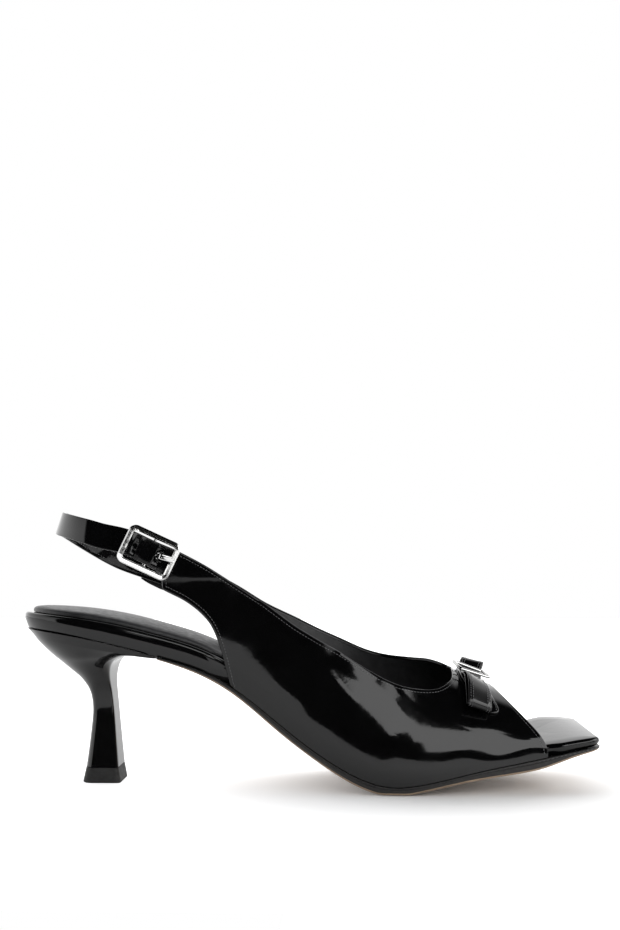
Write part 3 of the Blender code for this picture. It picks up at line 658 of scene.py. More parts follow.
def sole_tall(x):
    """Height of the outsole's edge."""
    return bed_under(x) - GAP - sole_bottom(x)


def sole_bevel(x):
    """Height of the bevel under the outsole's edge."""
    return np.minimum(SOLE_BEVEL, SOLE_BEVEL_PART * sole_tall(x))


def build_outsole(edge, tan):
    """Outsole with a grooved dark edge and a tan underside that turns up round the lowest bevel."""
    path, inward = plan_path(SOLE_START - GAP, SHOE_LENGTH, 0.0, np.zeros_like, round_back=False)
    groove = GROOVE_DEPTH * np.minimum(1.0, sole_tall(path[:, 0]) / GROOVE_FULL)
    bevel = sole_bevel(path[:, 0])
    side = []
    for inside, of_groove, of_bevel, part_up, bevel_up in SOLE_EDGE[1:]:
        depth = inside + of_groove * groove + of_bevel * bevel

        def height(x, y):
            return sole_bottom(x) + bevel_up * sole_bevel(x) + part_up * (sole_tall(x) - sole_bevel(x))

        side.append(edge_row(path, inward, depth, height))
    cover = to_spine(side[0], *SOLE_SPINE, SPINE_PARTS[::-1], lambda x, y, part: bed_under(x) - GAP)
    base = to_spine(side[-1], *SOLE_SPINE, SPINE_PARTS, lambda x, y, part: sole_bottom(x))
    rows = cover + side + base
    tan_gaps = TAN_GAPS + len(base)
    marks = [0] * (len(rows) - 1 - tan_gaps) + [1] * tan_gaps
    return row_skin("outsole_looks", rows, marks, (edge, tan))


# Rows up the footbed's side: how far in and how far up
BED_SIDE = ((1.3, 0.0), (1.02, 0.1), (0.76, 0.24), (0.46, 0.42), (0.2, 0.6), (0.04, 0.8))
BED_ROLL = 1.5
BED_SHORT = 0.4
BED_SPINE = (HEEL_ARC, SHOE_LENGTH - 24.0)


def build_insole(patent):
    """Footbed with a softly swollen side and a rolled top edge."""
    path, inward = plan_path(0.0, SHOE_LENGTH - BED_SHORT, 0.0, bed_inset)
    x = path[:, 0]
    side_top = bed_top(x, path[:, 1])
    lean = BED_LEAN * (side_top - bed_under(x) - bed_thick(x))
    side = []
    for depth, up in BED_SIDE:
        z = bed_under(x) + up * (side_top - BED_ROLL - bed_under(x))
        side.append(np.column_stack((path + inward * np.reshape(depth + up * lean, (-1, 1)), z)))
    for degrees in BED_ROLL_ANGLES:
        angle = math.radians(degrees)
        drop = BED_ROLL * (1 - math.sin(angle))
        depth = lean + BED_ROLL * (1 - math.cos(angle))
        side.append(edge_row(path, inward, depth, lambda px, py: bed_top(px, py) - drop))
    base = to_spine(side[0], *BED_SPINE, SPINE_PARTS[::-1], lambda px, py, part: bed_under(px))
    cover = to_spine(side[-1], *BED_SPINE, SPINE_PARTS, lambda px, py, part: bed_top(px, py))
    rows = base + side + cover
    return row_skin("insole_looks", rows, [0] * (len(rows) - 1), (patent,))


# Rows up the sock's edge: how far in and how far up
SOCK_EDGE = ((0.0, 0.0), (0.0, 0.8), (0.3, 1.3), (0.9, 1.7), (1.8, 1.97), (3.2, 2.2))
SOCK_CROWN = 0.5
SOCK_SHOULDER = 0.12
SOCK_SPINE = (HEEL_ARC, SOCK_END - 20.0)


def build_sock(satin):
    """Crowned sock pad on the footbed."""
    path, inward = plan_path(SOCK_INSET, SOCK_END, SOCK_INSET, bed_inset, round_toe=False)
    side = []
    for depth, rise in SOCK_EDGE:
        side.append(edge_row(path, inward, depth, lambda x, y: bed_top(x, y) + GAP + rise))
    base = to_spine(side[0], *SOCK_SPINE, SPINE_PARTS[::-1], lambda x, y, part: bed_top(x, y) + GAP)
    edge_rise = GAP + SOCK_EDGE[-1][1]

    def crown(x, y, part):
        return bed_top(x, y) + edge_rise + SOCK_CROWN * math.sin(0.5 * math.pi * part)

    cover = to_spine(side[-1], *SOCK_SPINE, (SOCK_SHOULDER,) + SPINE_PARTS, crown)
    rows = base + side + cover
    return row_skin("sock_looks", rows, [0] * (len(rows) - 1), (satin,))


# Round corner of the heel's front: its least radius, and its growth with the heel's half width past the least
HEEL_CORNER = 0.9
CORNER_GROWTH = 0.3
LEAST_HALF = 7.1
SEAT_BACK = 0.9
SEAT_INSET = 0.4
SEAT_WIDTH_AT = 45.0
SEAT_ROUND = HEEL_ARC - SEAT_BACK - 1.0
SEAT_SQUARE = 2.0


def squared(value, square):
    """Sine or cosine of a rounded section: square 2 leaves an ellipse and more makes it flatter."""
    return math.copysign(abs(value) ** (2 / square), value)


def heel_ring(x_back, z_back, x_front, z_front, half, rounded, square, height=None):
    """Closed ring: rounded back, straight sides and a straight front with rounded corners."""
    plan = []
    for angle in np.linspace(-0.5 * math.pi, 0.5 * math.pi, HEEL_BACK_POINTS):
        along = squared(abs(math.cos(angle)), square)
        plan.append((x_back + rounded * (1 - along), half * squared(math.sin(angle), square)))
    corner = HEEL_CORNER + CORNER_GROWTH * max(half - LEAST_HALF, 0.0)
    straight = np.linspace(x_back + rounded, x_front - corner, HEEL_FLANK_POINTS)[1:-1]
    flank = [(x, half) for x in straight]
    for angle in np.linspace(0.5 * math.pi, 0.0, HEEL_CORNER_POINTS):
        flank.append((x_front - corner * (1 - math.cos(angle)), half - corner * (1 - math.sin(angle))))
    front = np.linspace(half - corner, corner - half, HEEL_FRONT_POINTS)[1:-1]
    plan += flank + [(x_front, y) for y in front] + [(x, -y) for x, y in flank[::-1]]
    slope = (z_front - z_back) / (x_front - x_back)
    return [(x, y, height(x) if height else z_back + slope * (x - x_back)) for x, y in plan]


def blend_rows(table, steps, curve):
    """Rows of a table with smooth steps put between them."""
    rows = np.array(table[1:], float)
    index = np.arange(len(rows))
    fine = np.linspace(0, len(rows) - 1, (len(rows) - 1) * steps + 1)
    return np.column_stack([curve(index, rows[:, k])(fine) for k in range(rows.shape[1])])


def build_heel(gloss):
    """Heel from its seat under the footbed to its top lift."""
    half = float(half_width(SEAT_WIDTH_AT, 1)) - SEAT_INSET
    seat = heel_ring(SEAT_BACK, 0, SOLE_START - GAP, 0, half, SEAT_ROUND, SEAT_SQUARE,
                     lambda x: float(bed_under(x)) - GAP)
    rings = [seat] + [heel_ring(*row) for row in blend_rows(HEEL, HEEL_STEPS, smooth_curve)]
    return loft("heel_looks", rings, (gloss,), sharp=50.0)


def build_top_lift(rubber):
    """Block under the heel with a small bevel round its foot."""
    rings = [heel_ring(*row) for row in blend_rows(LIFT, LIFT_STEPS, steady_curve)]
    return loft("heel_top_lift_looks", rings, (rubber,), sharp=30.0)


# How far the upper's rim is rounded out, and how little where it meets the sole
RIM = 0.45
RIM_ON_SOLE = 0.03

# The wall stands straighter than the last towards its topline: how far out it comes there and over what
# width, along the shoe, and the same for the folded edge just under the topline
STAND = (
    ("x", "out", "width"),
    (40.0, 0.0, 22.0),
    (60.0, 0.0, 22.0),
    (95.0, 2.0, 22.0),
    (125.0, 2.0, 21.0),
    (138.0, 1.8, 18.0),
    (149.0, 1.55, 17.0),
    (159.0, 0.9, 16.0),
    (170.0, 0.25, 15.0),
    (184.0, 0.0, 15.0),
    (225.0, 0.0, 17.0),
)
FOLD = 1.1
FOLD_WIDTH = 6.0
FOLD_POWER = 1.5
FOLD_START = (92.0, 108.0)
FOLD_END = (125.0, 147.0)
CREASE_FREE = 4


def outward_normals(grid, side):
    """Directions out of one half of the upper."""
    return unit(np.cross(np.gradient(grid, axis=0), np.gradient(grid, axis=1))) * -side


def upper_grid(table, side):
    """Outer and inner grids of one half of the upper, and the ribs where its ridge and its sole start."""
    rows = table[1:]
    index = range(len(rows))
    low_angle = [0.0 if z is ON_SOLE else float(last_angle(x, z)) for x, z, _, _ in rows]
    top_angle = [RIDGE_ANGLE if z is ON_RIDGE else float(last_angle(x, z)) for _, _, x, z in rows]
    u = np.linspace(0, len(rows) - 1, (len(rows) - 1) * RIB_FINE + 1)[:, None]
    x_low, x_top, low, top = (
        steady_curve(index, values)(u)
        for values in (column(table, "x_low"), column(table, "x_top"), low_angle, top_angle))
    t = np.linspace(0.0, 1.0, RIB_POINTS)[None, :]
    bow = ease(x_low, EASE_START, EASE_END)
    x = x_low + (x_top - x_low) * ((1 - bow) * t + bow * np.sin(0.5 * math.pi * t) ** 2)
    theta = low + (top - low) * t
    theta = np.where(theta > RIDGE_ANGLE - 1e-7, RIDGE_ANGLE, theta)
    outer = last_point(x, side, theta)
    inner = last_point(x, side, theta, WALL)
    swell = np.zeros(x.shape)
    for at_side, cx, cz, along, tall, depth in CREASES[1:]:
        if at_side == side:
            far = ((outer[..., 0] - cx) / along) ** 2 + ((outer[..., 2] - cz) / tall) ** 2
            swell += depth * np.exp(-far)
    swell *= np.minimum(np.arange(RIB_POINTS), CREASE_FREE) / CREASE_FREE
    step = np.linalg.norm(np.diff(outer, axis=1), axis=2)
    to_top = np.concatenate((np.cumsum(step[:, ::-1], axis=1)[:, ::-1], np.zeros((len(u), 1))), axis=1)
    stand, width = (steady_curve(column(STAND, "x"), column(STAND, name))(x) for name in ("out", "width"))
    fold = ease(x, *FOLD_START) * (1 - ease(x, *FOLD_END))
    raised = stand * np.maximum(1 - to_top / width, 0.0) ** 2
    raised = raised + FOLD * fold * np.maximum(1 - to_top / FOLD_WIDTH, 0.0) ** FOLD_POWER
    move = (swell + raised)[..., None] * outward_normals(outer, side)
    ridge_rib = column(table, "z_top").index(ON_RIDGE) * RIB_FINE
    sole_rib = column(table, "z_low").index(ON_SOLE) * RIB_FINE
    return outer + move, inner + move, ridge_rib, sole_rib


@functools.lru_cache(maxsize=None)
def upper_halves():
    return {side: upper_grid(table, side) for table, side in ((LATERAL_RIBS, -1), (MEDIAL_RIBS, 1))}


def upper_loop():
    """Free edge of the upper, once round, as side, rib, point and how far its rim stands out."""
    _, _, ridge_rib, sole_rib = upper_halves()[-1]
    ribs = upper_halves()[-1][0].shape[0] - 1
    top = RIB_POINTS - 1

    def low_rim(i):
        return RIM_ON_SOLE if i >= sole_rib else RIM

    loop = [(-1, i, 0, low_rim(i)) for i in range(ribs + 1)]
    loop += [(-1, ribs, j, RIM) for j in range(1, top + 1)]
    loop += [(1, ribs, j, RIM) for j in range(top - 1, -1, -1)]
    loop += [(1, i, 0, low_rim(i)) for i in range(ribs - 1, -1, -1)]
    loop += [(1, 0, j, RIM) for j in range(1, top + 1)]
    loop += [(1, i, top, RIM) for i in range(1, ridge_rib + 1)]
    loop += [(-1, i, top, RIM) for i in range(ridge_rib - 1, -1, -1)]
    loop += [(-1, 0, j, RIM) for j in range(top - 1, 0, -1)]
    return loop


def loop_points():
    """Points of the outer and the inner grid along the upper's free edge."""
    halves = upper_halves()
    return (np.array([halves[side][layer][i, j] for side, i, j, _ in upper_loop()]) for layer in (0, 1))


def build_upper(patent, lining):
    """Vamp and wings: two skins joined by a rounded rim all round their free edge."""
    points = []
    faces = []
    marks = []
    start = {}
    count = 0
    for side, (outer, inner, _, _) in upper_halves().items():
        for layer, grid in enumerate((outer, inner)):
            ribs = grid.shape[0]
            start[side, layer] = count
            points.append(grid.reshape(-1, 3))
            for i in range(ribs - 1):
                for j in range(RIB_POINTS - 1):
                    a = count + i * RIB_POINTS + j
                    faces.append((a, a + RIB_POINTS, a + RIB_POINTS + 1, a + 1))
                    marks.append(layer)
            count += ribs * RIB_POINTS
    loop = upper_loop()
    outside, inside = loop_points()
    bulge = np.array([rim for _, _, _, rim in loop])[:, None]
    along = np.roll(outside, -1, axis=0) - np.roll(outside, 1, axis=0)
    away = unit(np.cross(along, outside - inside))
    ids = [[start[side, 0] + i * RIB_POINTS + j for side, i, j, _ in loop]]
    for k in range(1, RIM_STEPS + 1):
        angle = math.pi * k / (RIM_STEPS + 1)
        row = 0.5 * (outside + inside) + 0.5 * math.cos(angle) * (outside - inside)
        points.append(row + bulge * math.sin(angle) * away)
        ids.append(list(range(count, count + len(loop))))
        count += len(loop)
    ids.append([start[side, 1] + i * RIB_POINTS + j for side, i, j, _ in loop])
    for before, after in zip(ids, ids[1:]):
        for k in range(len(loop)):
            n = (k + 1) % len(loop)
            faces.append((before[k], before[n], after[n], after[k]))
            marks.append(0)
    return new_piece("upper_looks", np.concatenate(points), faces, (patent, lining), marks, sharp=60.0)


def wing_point(x, z):
    return last_point(x, -1, last_angle(x, z))


# Distances along and across the strap over which the wing's slope is taken at the buckle
PROBE_ALONG = 8.0
PROBE_ACROSS = 4.0


@functools.lru_cache(maxsize=None)
def buckle_axes():
    """Centre, direction along the strap, direction across it and outward direction of the buckle."""
    x, z = BUCKLE_CENTRE
    run = math.cos(BUCKLE_SLOPE)
    fall = math.sin(BUCKLE_SLOPE)
    ahead = wing_point(x + PROBE_ALONG * run, z - PROBE_ALONG * fall)
    back = wing_point(x - PROBE_ALONG * run, z + PROBE_ALONG * fall)
    above = wing_point(x + PROBE_ACROSS * fall, z + PROBE_ACROSS * run)
    centre = wing_point(x, z)
    along = unit(ahead - back)
    outward = unit(np.cross(along, above - centre))
    return centre, along, np.cross(outward, along), outward


def at_buckle(s, w, lift):
    """Point at s along the buckle, w across it and lift outward from the wing's surface."""
    centre, along, across, outward = buckle_axes()
    return centre + s * along + w * across + lift * outward


# Places along the buckle that the strap runs through, its gap inside the inner wing and the height over which
# that wing's slope is taken
STRAP_AT = (STRAP_TAIL, 3.0, -3.0, -9.0)
STRAP_INSIDE = 0.3
LEAN_STEP = 3.0


def inside_wing(x, z):
    return last_point(x, 1, last_angle(x, z), WALL)


@functools.lru_cache(maxsize=None)
def strap_course():
    """Middle, up and outward directions and half width of the strap at even steps of its run."""
    across = buckle_axes()[2]
    route = [(at_buckle(s, 0.0, STRAP_LIFT), STRAP_AT_BUCKLE, across) for s in STRAP_AT]
    for x, y, z, width, lean in STRAP[1:]:
        up = np.array((lean, 0.0, 1.0))
        if y is IN_WING:
            y = inside_wing(x, z)[1] - GAP - 0.5 * STRAP_THICK - STRAP_INSIDE
            up = inside_wing(x, z + LEAN_STEP) - inside_wing(x, z - LEAN_STEP)
        route.append((np.array((x, y, z)), width, unit(up)))
    path = np.array([p for p, _, _ in route])
    run = np.concatenate(((0.0,), np.cumsum(np.linalg.norm(np.diff(path, axis=0), axis=1))))
    d = np.linspace(0.0, run[-1], STRAP_STATIONS)
    middle = np.column_stack([smooth_curve(run, path[:, k])(d) for k in range(3)])
    up = np.column_stack([smooth_curve(run, [v[k] for _, _, v in route])(d) for k in range(3)])
    tangent = unit(np.gradient(middle, axis=0))
    up = unit(up - tangent * np.sum(up * tangent, axis=1, keepdims=True))
    half = 0.5 * smooth_curve(run, [w for _, w, _ in route])(d)
    return middle, up, np.cross(tangent, up), half


STRAP_ROUND = 0.5
STRAP_CROWN = 0.14


def strap_section(half):
    """Section of the strap: across and outward, with round edges and a soft crown outside."""
    thick = 0.5 * STRAP_THICK
    flat = half - STRAP_ROUND
    section = []
    for turn, a, b in ((0, 1, 1), (90, -1, 1), (180, -1, -1), (270, 1, -1)):
        for step in STRAP_ROUND_ANGLES:
            angle = math.radians(turn + step)
            section.append((a * flat + STRAP_ROUND * math.cos(angle),
                            b * (thick - STRAP_ROUND) + STRAP_ROUND * math.sin(angle)))
        if turn == 0:
            section += [(flat * e, thick + STRAP_CROWN * (1 - e * e)) for e in STRAP_CROWN_AT]
    return section


def cut_with(piece, rings):
    """Cuts a prism out of a piece for good."""
    cutter = loft(piece.name + "_cutter", rings, ())
    change = piece.modifiers.new("cut", "BOOLEAN")
    change.operation = "DIFFERENCE"
    change.solver = "EXACT"
    change.object = cutter
    done = finished_mesh(piece)
    spent = piece.data
    name = spent.name
    piece.modifiers.clear()
    piece.data = done
    bpy.data.meshes.remove(spent)
    done.name = name
    discard(cutter)


def slot_rings(near, far, width, low, high):
    """Round-ended prism across the strap at the buckle, between two lifts off the wing."""
    bulge = 0.5 * width
    rings = []
    for height in (low, high):
        ring = []
        for j in range(SLOT_POINTS):
            angle = 2 * math.pi * (j + 0.5) / SLOT_POINTS
            s = (far - bulge if math.cos(angle) > 0 else near + bulge) + bulge * math.cos(angle)
            ring.append(at_buckle(s, bulge * math.sin(angle), height))
        rings.append(ring)
    return rings


# How far the cutters reach past the strap's middle, and how far the blind hole goes below it
SLOT_CUT = 2.5
HOLE_CUT = 0.3


def build_strap(patent):
    """Strap with the prong's slot and one hole."""
    middle, up, out, half = strap_course()
    rings = []
    for p, u, o, h in zip(middle, up, out, half):
        rings.append([p + a * u + b * o for a, b in strap_section(h)])
    strap = loft("sling_strap_looks", rings, (patent,), sharp=55.0)
    top = STRAP_LIFT + SLOT_CUT
    cut_with(strap, slot_rings(*PRONG_SLOT, PRONG_SLOT_WIDTH, STRAP_LIFT - SLOT_CUT, top))
    hole = (STRAP_HOLE - STRAP_HOLE_RADIUS, STRAP_HOLE + STRAP_HOLE_RADIUS)
    cut_with(strap, slot_rings(*hole, 2 * STRAP_HOLE_RADIUS, STRAP_LIFT - HOLE_CUT, top))
    return strap


# Bevel and small edge breaks of a frame's bars, as parts of their thickness
FRAME_BEVEL = 0.24
FRAME_NICK = 0.06


def frame_rings(length, height, bar, thick, corner, place, arc_points, lean=None):
    """Rings of a rectangular frame with rounded corners and a bevelled face, or round bars without a lean.

    lean holds the mean slant of the face towards the window and its change from bar to bar, in degrees.
    """
    wide = 0.5 * bar
    tall = 0.5 * thick
    bevel = FRAME_BEVEL * thick
    nick = FRAME_NICK * thick
    foot = ((-wide + nick, -tall), (wide - nick, -tall), (wide, -tall + nick))
    half_face = (
        (wide, tall - bevel - nick),
        (wide - nick, tall - bevel),
        (wide - bevel, tall - nick),
        (wide - bevel - nick, tall),
    )
    face = half_face + tuple((-r, h) for r, h in half_face[::-1])
    round_bar = [(-wide * math.cos(a), -tall * math.sin(a))
                 for a in np.linspace(0.0, 2 * math.pi, BAR_POINTS, endpoint=False)]
    mid_corner = corner - wide
    rings = []
    for quarter in range(4):
        turn = 0.5 * math.pi * quarter
        cx = (0.5 * length - corner) * (1 if quarter in (0, 3) else -1)
        cy = (0.5 * height - corner) * (1 if quarter in (0, 1) else -1)
        for angle in np.linspace(turn, turn + 0.5 * math.pi, arc_points + 1):
            out = (math.cos(angle), math.sin(angle))
            section = round_bar
            if lean is not None:
                slant = math.tan(math.radians(lean[0] - lean[1] * out[0]))
                section = foot + tuple((r, h + slant * r) for r, h in face) + ((-wide, -tall + nick),)
            rings.append([place(cx + (mid_corner + r) * out[0], cy + (mid_corner + r) * out[1], h)
                          for r, h in section])
    return rings


# How the buckle's frame tips out at its lower side, in degrees, how its bars' faces slant, how far its
# plating spreads beyond the solid and how far it hangs below the strap's middle
BUCKLE_TIP = 5.0
BUCKLE_LEAN = (5.0, 6.0)
BUCKLE_SPREAD = 0.4
BUCKLE_DROP = 0.3


def build_buckle_frame(chrome):
    """Rectangular frame of the strap's buckle."""
    tip = math.tan(math.radians(BUCKLE_TIP))

    def place(s, w, h):
        return at_buckle(s, w - BUCKLE_DROP, FRAME_LIFT + h + tip * (0.5 * BUCKLE_HEIGHT - w))

    more = 2 * BUCKLE_SPREAD
    rings = frame_rings(BUCKLE_LENGTH + more, BUCKLE_HEIGHT + more, BUCKLE_BAR, BUCKLE_THICK,
                        BUCKLE_CORNER + BUCKLE_SPREAD, place, BUCKLE_ARC_POINTS, BUCKLE_LEAN)
    return loft("sling_buckle_frame_looks", rings, (chrome,), closed_path=True, sharp=28.0)


def tube(name, path, across, thick, metal, tip=1.0, square=2.0, roll=0.0):
    """Bar along a path, its last step drawn in to tip of its section.

    square 2 makes the section an ellipse and more makes it flatter. roll turns it about the path, in degrees.
    """
    rings = []
    side_dir = unit(np.cross(path[1] - path[0], path[2] - path[1]))
    turn = math.radians(roll)
    for i, p in enumerate(path):
        tangent = unit(path[min(i + 1, len(path) - 1)] - path[max(i - 1, 0)])
        other = np.cross(tangent, side_dir)
        wide = math.cos(turn) * side_dir + math.sin(turn) * other
        tall = math.cos(turn) * other - math.sin(turn) * side_dir
        size = 0.5 * (tip if i == len(path) - 1 else 1.0)
        ring = []
        for angle in np.linspace(0.0, 2 * math.pi, TUBE_POINTS, endpoint=False):
            a = squared(math.cos(angle), square)
            b = squared(math.sin(angle), square)
            ring.append(p + size * across * a * wide + size * thick * b * tall)
        rings.append(ring)
    return loft(name, rings, (metal,))


def round_path(corners, bend, steps=10):
    """Straight runs between corner points, each inner corner rounded over the length bend."""
    path = [corners[0]]
    for before, corner, after in zip(corners, corners[1:], corners[2:]):
        start = corner + bend * unit(before - corner)
        end = corner + bend * unit(after - corner)
        for t in np.linspace(0.0, 1.0, steps + 1):
            path.append((1 - t) ** 2 * start + 2 * t * (1 - t) * corner + t * t * end)
    path.append(corners[-1])
    return path


PIN_BEND = 0.9


def build_buckle_pin(chrome):
    """Bar under the strap whose ends turn up to the frame."""
    reach = 0.5 * (BUCKLE_HEIGHT - BUCKLE_BAR)
    corners = [at_buckle(0.0, w, lift) for w, lift in (
        (reach, PIN_END_LIFT), (reach, PIN_LIFT), (-reach, PIN_LIFT), (-reach, PIN_END_LIFT))]
    return tube("sling_buckle_pin_looks", round_path(corners, PIN_BEND), PIN_DIAMETER, PIN_DIAMETER, chrome)


# The prong: where it rises through the strap, how far it sways across, its room over the frame, how far it
# stops short of the frame's end and the length and size of its blunt tip
PRONG_RISE = (3.4, 4.7)
PRONG_SWAY = (0.15, 0.88, 0.9)
PRONG_ROOM = 0.2
PRONG_SHORT = 0.5
PRONG_TIP = 0.25
PRONG_TIP_SIZE = 0.72
PRONG_BEND = 0.7
PRONG_SQUARE = 4.0
PRONG_ROLL = 7.0


def build_buckle_prong(chrome):
    """Flat prong from the pin through the strap and onto the frame."""
    top = FRAME_LIFT + 0.5 * BUCKLE_THICK + GAP + 0.5 * PRONG_THICK + PRONG_ROOM
    start = 0.5 * PIN_DIAMETER + GAP + METAL_ROOM
    end = 0.5 * BUCKLE_LENGTH - PRONG_SHORT
    corners = [at_buckle(s, w, lift) for s, w, lift in (
        (start, 0.0, PIN_LIFT),
        (PRONG_RISE[0], 0.0, PIN_LIFT),
        (PRONG_RISE[1], PRONG_SWAY[0], top),
        (end - PRONG_TIP, PRONG_SWAY[1], top),
        (end, PRONG_SWAY[2], top),
    )]
    path = round_path(corners[:4], PRONG_BEND) + corners[4:]
    return tube("sling_buckle_prong_looks", path, PRONG_WIDTH, PRONG_THICK, chrome, PRONG_TIP_SIZE,
                PRONG_SQUARE, PRONG_ROLL)


# Distance over which the vamp's slope is taken
SLOPE_STEP = 0.9


@functools.lru_cache(maxsize=None)
def vamp_runs(x):
    """Points over the vamp at x from the outer to the inner side, and their distance from the ridge."""
    theta = np.linspace(0.0, RIDGE_ANGLE, VAMP_STEPS + 1)
    over = np.concatenate((last_point(x, -1, theta), last_point(x, 1, theta[-2::-1])))
    run = np.concatenate(((0.0,), np.cumsum(np.linalg.norm(np.diff(over, axis=0), axis=1))))
    return over, run - run[VAMP_STEPS]


def vamp_surface(x, q):
    """Point on the vamp at x, q along its section from the ridge."""
    over, run = vamp_runs(round(float(x), 4))
    return np.array([np.interp(q, run, over[:, k]) for k in range(3)])


def on_vamp(x, q, lift):
    """Point on the vamp at x, q along its section from the ridge, lifted off the surface."""
    step = SLOPE_STEP
    along = vamp_surface(x + step, q) - vamp_surface(x - step, q)
    round_over = vamp_surface(x, q + step) - vamp_surface(x, q - step)
    return vamp_surface(x, q) + lift * unit(np.cross(along, round_over))


# Round edges of the bow's strips as a part of their half width, and how thin and narrow they end
STRIP_ROUND = 0.1
STRIP_LEAST = 0.06
TIP_LEAST = 0.05

# The outer tail is a little shorter, and the tails bend towards the toe
NEAR_TAIL_LESS = 2.2
TAIL_BEND_START = 5.0

# The band is drawn in under its frame and its near loop reaches further down. The far loop's toe side
# rises, and the near loop's heel side rises and reaches on
BAND_WAIST = 0.84
BAND_WAIST_SHIFT = -0.8
WAIST_REACH = (5.0, 22.0)
NEAR_LOOP_MORE = 0.4
BAND_BULGE = 0.9
BULGE_REACH = 4.6
FAR_TWIST = 1.6
NEAR_TWIST = 1.7
TWIST_REACH = (6.0, 13.0)
NEAR_SKEW = 2.4
SKEW_REACH = (8.0, 22.0)


def tail_reach(side):
    """How far a tail reaches from the bow's middle: a little less on the outer side."""
    return TAIL_REACH - (NEAR_TAIL_LESS if side < 0 else 0.0)


def tail_half(q):
    past = max(abs(q) - (tail_reach(q) - TAIL_TIP), 0.0) / TAIL_TIP
    return 0.5 * BOW_WIDTH * math.sqrt(max(1 - past ** 2, TIP_LEAST))


def tail_middle(q):
    return BOW_X + TAIL_SHIFT * float(ease(abs(q), TAIL_BEND_START, TAIL_REACH))


def no_twist(q, across):
    return 0.0, 0.0


def tail_path():
    """Path of the bow's tails, from the outer tip to the inner one."""
    tips = [TAIL_TIP * (1 - math.cos(math.radians(a))) for a in TAIL_TIP_ANGLES]
    near = tail_reach(-1)
    far = tail_reach(1)
    straight = np.linspace(TAIL_TIP - near, far - TAIL_TIP, TAIL_POINTS)[1:-1]
    run = [q - near for q in tips] + list(straight) + [far - q for q in tips[::-1]]
    return [np.array((q, TAIL_LIFT)) for q in run]


def band_half(q):
    return 0.5 * BOW_WIDTH * (BAND_WAIST + (1 - BAND_WAIST) * float(ease(abs(q), *WAIST_REACH)))


def band_middle(q):
    return BOW_X + BAND_WAIST_SHIFT * (1 - float(ease(abs(q), *WAIST_REACH)))


def band_twist(q, across):
    """How far a point of the band slides along its section and rises."""
    toe_side = 0.5 * (1 + across)
    heel_side = 1 - toe_side
    far_rise = FAR_TWIST * toe_side * float(ease(q, *TWIST_REACH))
    near_rise = NEAR_TWIST * heel_side * float(ease(-q, *TWIST_REACH))
    return -NEAR_SKEW * heel_side * float(ease(-q, *SKEW_REACH)), far_rise + near_rise


def band_path():
    """Path of the bow's band: both ends start under the loops, fold round and meet over the middle."""
    reach = column(BOW_LOOP, "reach")
    turn = 0.5 * BOW_FOLD
    path = []
    for side, name in ((1, "inner"), (-1, "outer")):
        fold = reach[-1] + (NEAR_LOOP_MORE if side < 0 else 0.0)
        lift = smooth_curve(np.array(reach) * fold / reach[-1], column(BOW_LOOP, name))
        half_path = [(side * q, BAND_LIFT) for q in np.linspace(BOW_UNDER, fold, UNDER_POINTS)]
        for degrees in LOOP_FOLD_ANGLES:
            angle = math.radians(degrees)
            rise = turn * (1 - math.cos(angle))
            half_path.append((side * (fold + turn * math.sin(angle)), BAND_LIFT + rise))
        for q in np.linspace(fold, 0.0, LOOP_POINTS):
            bulge = BAND_BULGE * max(1 - (q / BULGE_REACH) ** 2, 0.0) ** 2
            half_path.append((side * q, BAND_LIFT + max(float(lift(q)), 0.0) + bulge))
        path += half_path if side > 0 else half_path[-2::-1]
    return [np.array(p) for p in path]


# Half width, middle line and twist of the bow's two strips
TAIL_SHAPE = (tail_half, tail_middle, no_twist)
BAND_SHAPE = (band_half, band_middle, band_twist)


def strip_point(path, i, shape, across, face, thin=1.0):
    """Point of a strip at one step of its path: across from -1 to 1, on its face -1 or 1."""
    half, middle, twist = shape
    q = path[i][0]
    tangent = unit(path[min(i + 1, len(path) - 1)] - path[max(i - 1, 0)])
    spot = path[i] + face * 0.5 * BOW_THICK * thin * np.array((-tangent[1], tangent[0]))
    slide, rise = twist(q, across)
    return on_vamp(middle(q) + across * half(q), BOW_MIDDLE + spot[0] + slide, spot[1] + rise)


def strip_rings(path, shape):
    """Sections of a strip along its path, thinned at their edges."""
    around = [(-1, across) for across in STRIP_EDGES] + [(1, across) for across in STRIP_EDGES[::-1]]
    rings = []
    for i in range(len(path)):
        ring = []
        for face, across in around:
            past = max(abs(across) - (1 - STRIP_ROUND), 0.0) / STRIP_ROUND
            thin = math.sqrt(max(1 - past ** 2, STRIP_LEAST))
            ring.append(strip_point(path, i, shape, across, face, thin))
        rings.append(ring)
    return rings


def build_bow_tails(patent):
    """Flat strip under the bow."""
    return loft("bow_tails_looks", strip_rings(tail_path(), TAIL_SHAPE), (patent,), sharp=60.0)


def build_bow_band(patent):
    """Strip folded into the bow's two loops."""
    return loft("bow_band_looks", strip_rings(band_path(), BAND_SHAPE), (patent,), sharp=60.0)


# The bow's frame is turned a little, lies back of the bow's middle and to the outer side, stands up at its
# toe end and is narrower than the solid
BOW_FRAME_YAW = math.radians(14.0)
BOW_FRAME_BACK = -1.2
BOW_FRAME_NEAR = -2.4
BOW_FRAME_RISE = 0.8
BOW_FRAME_DRAWN = 1.6


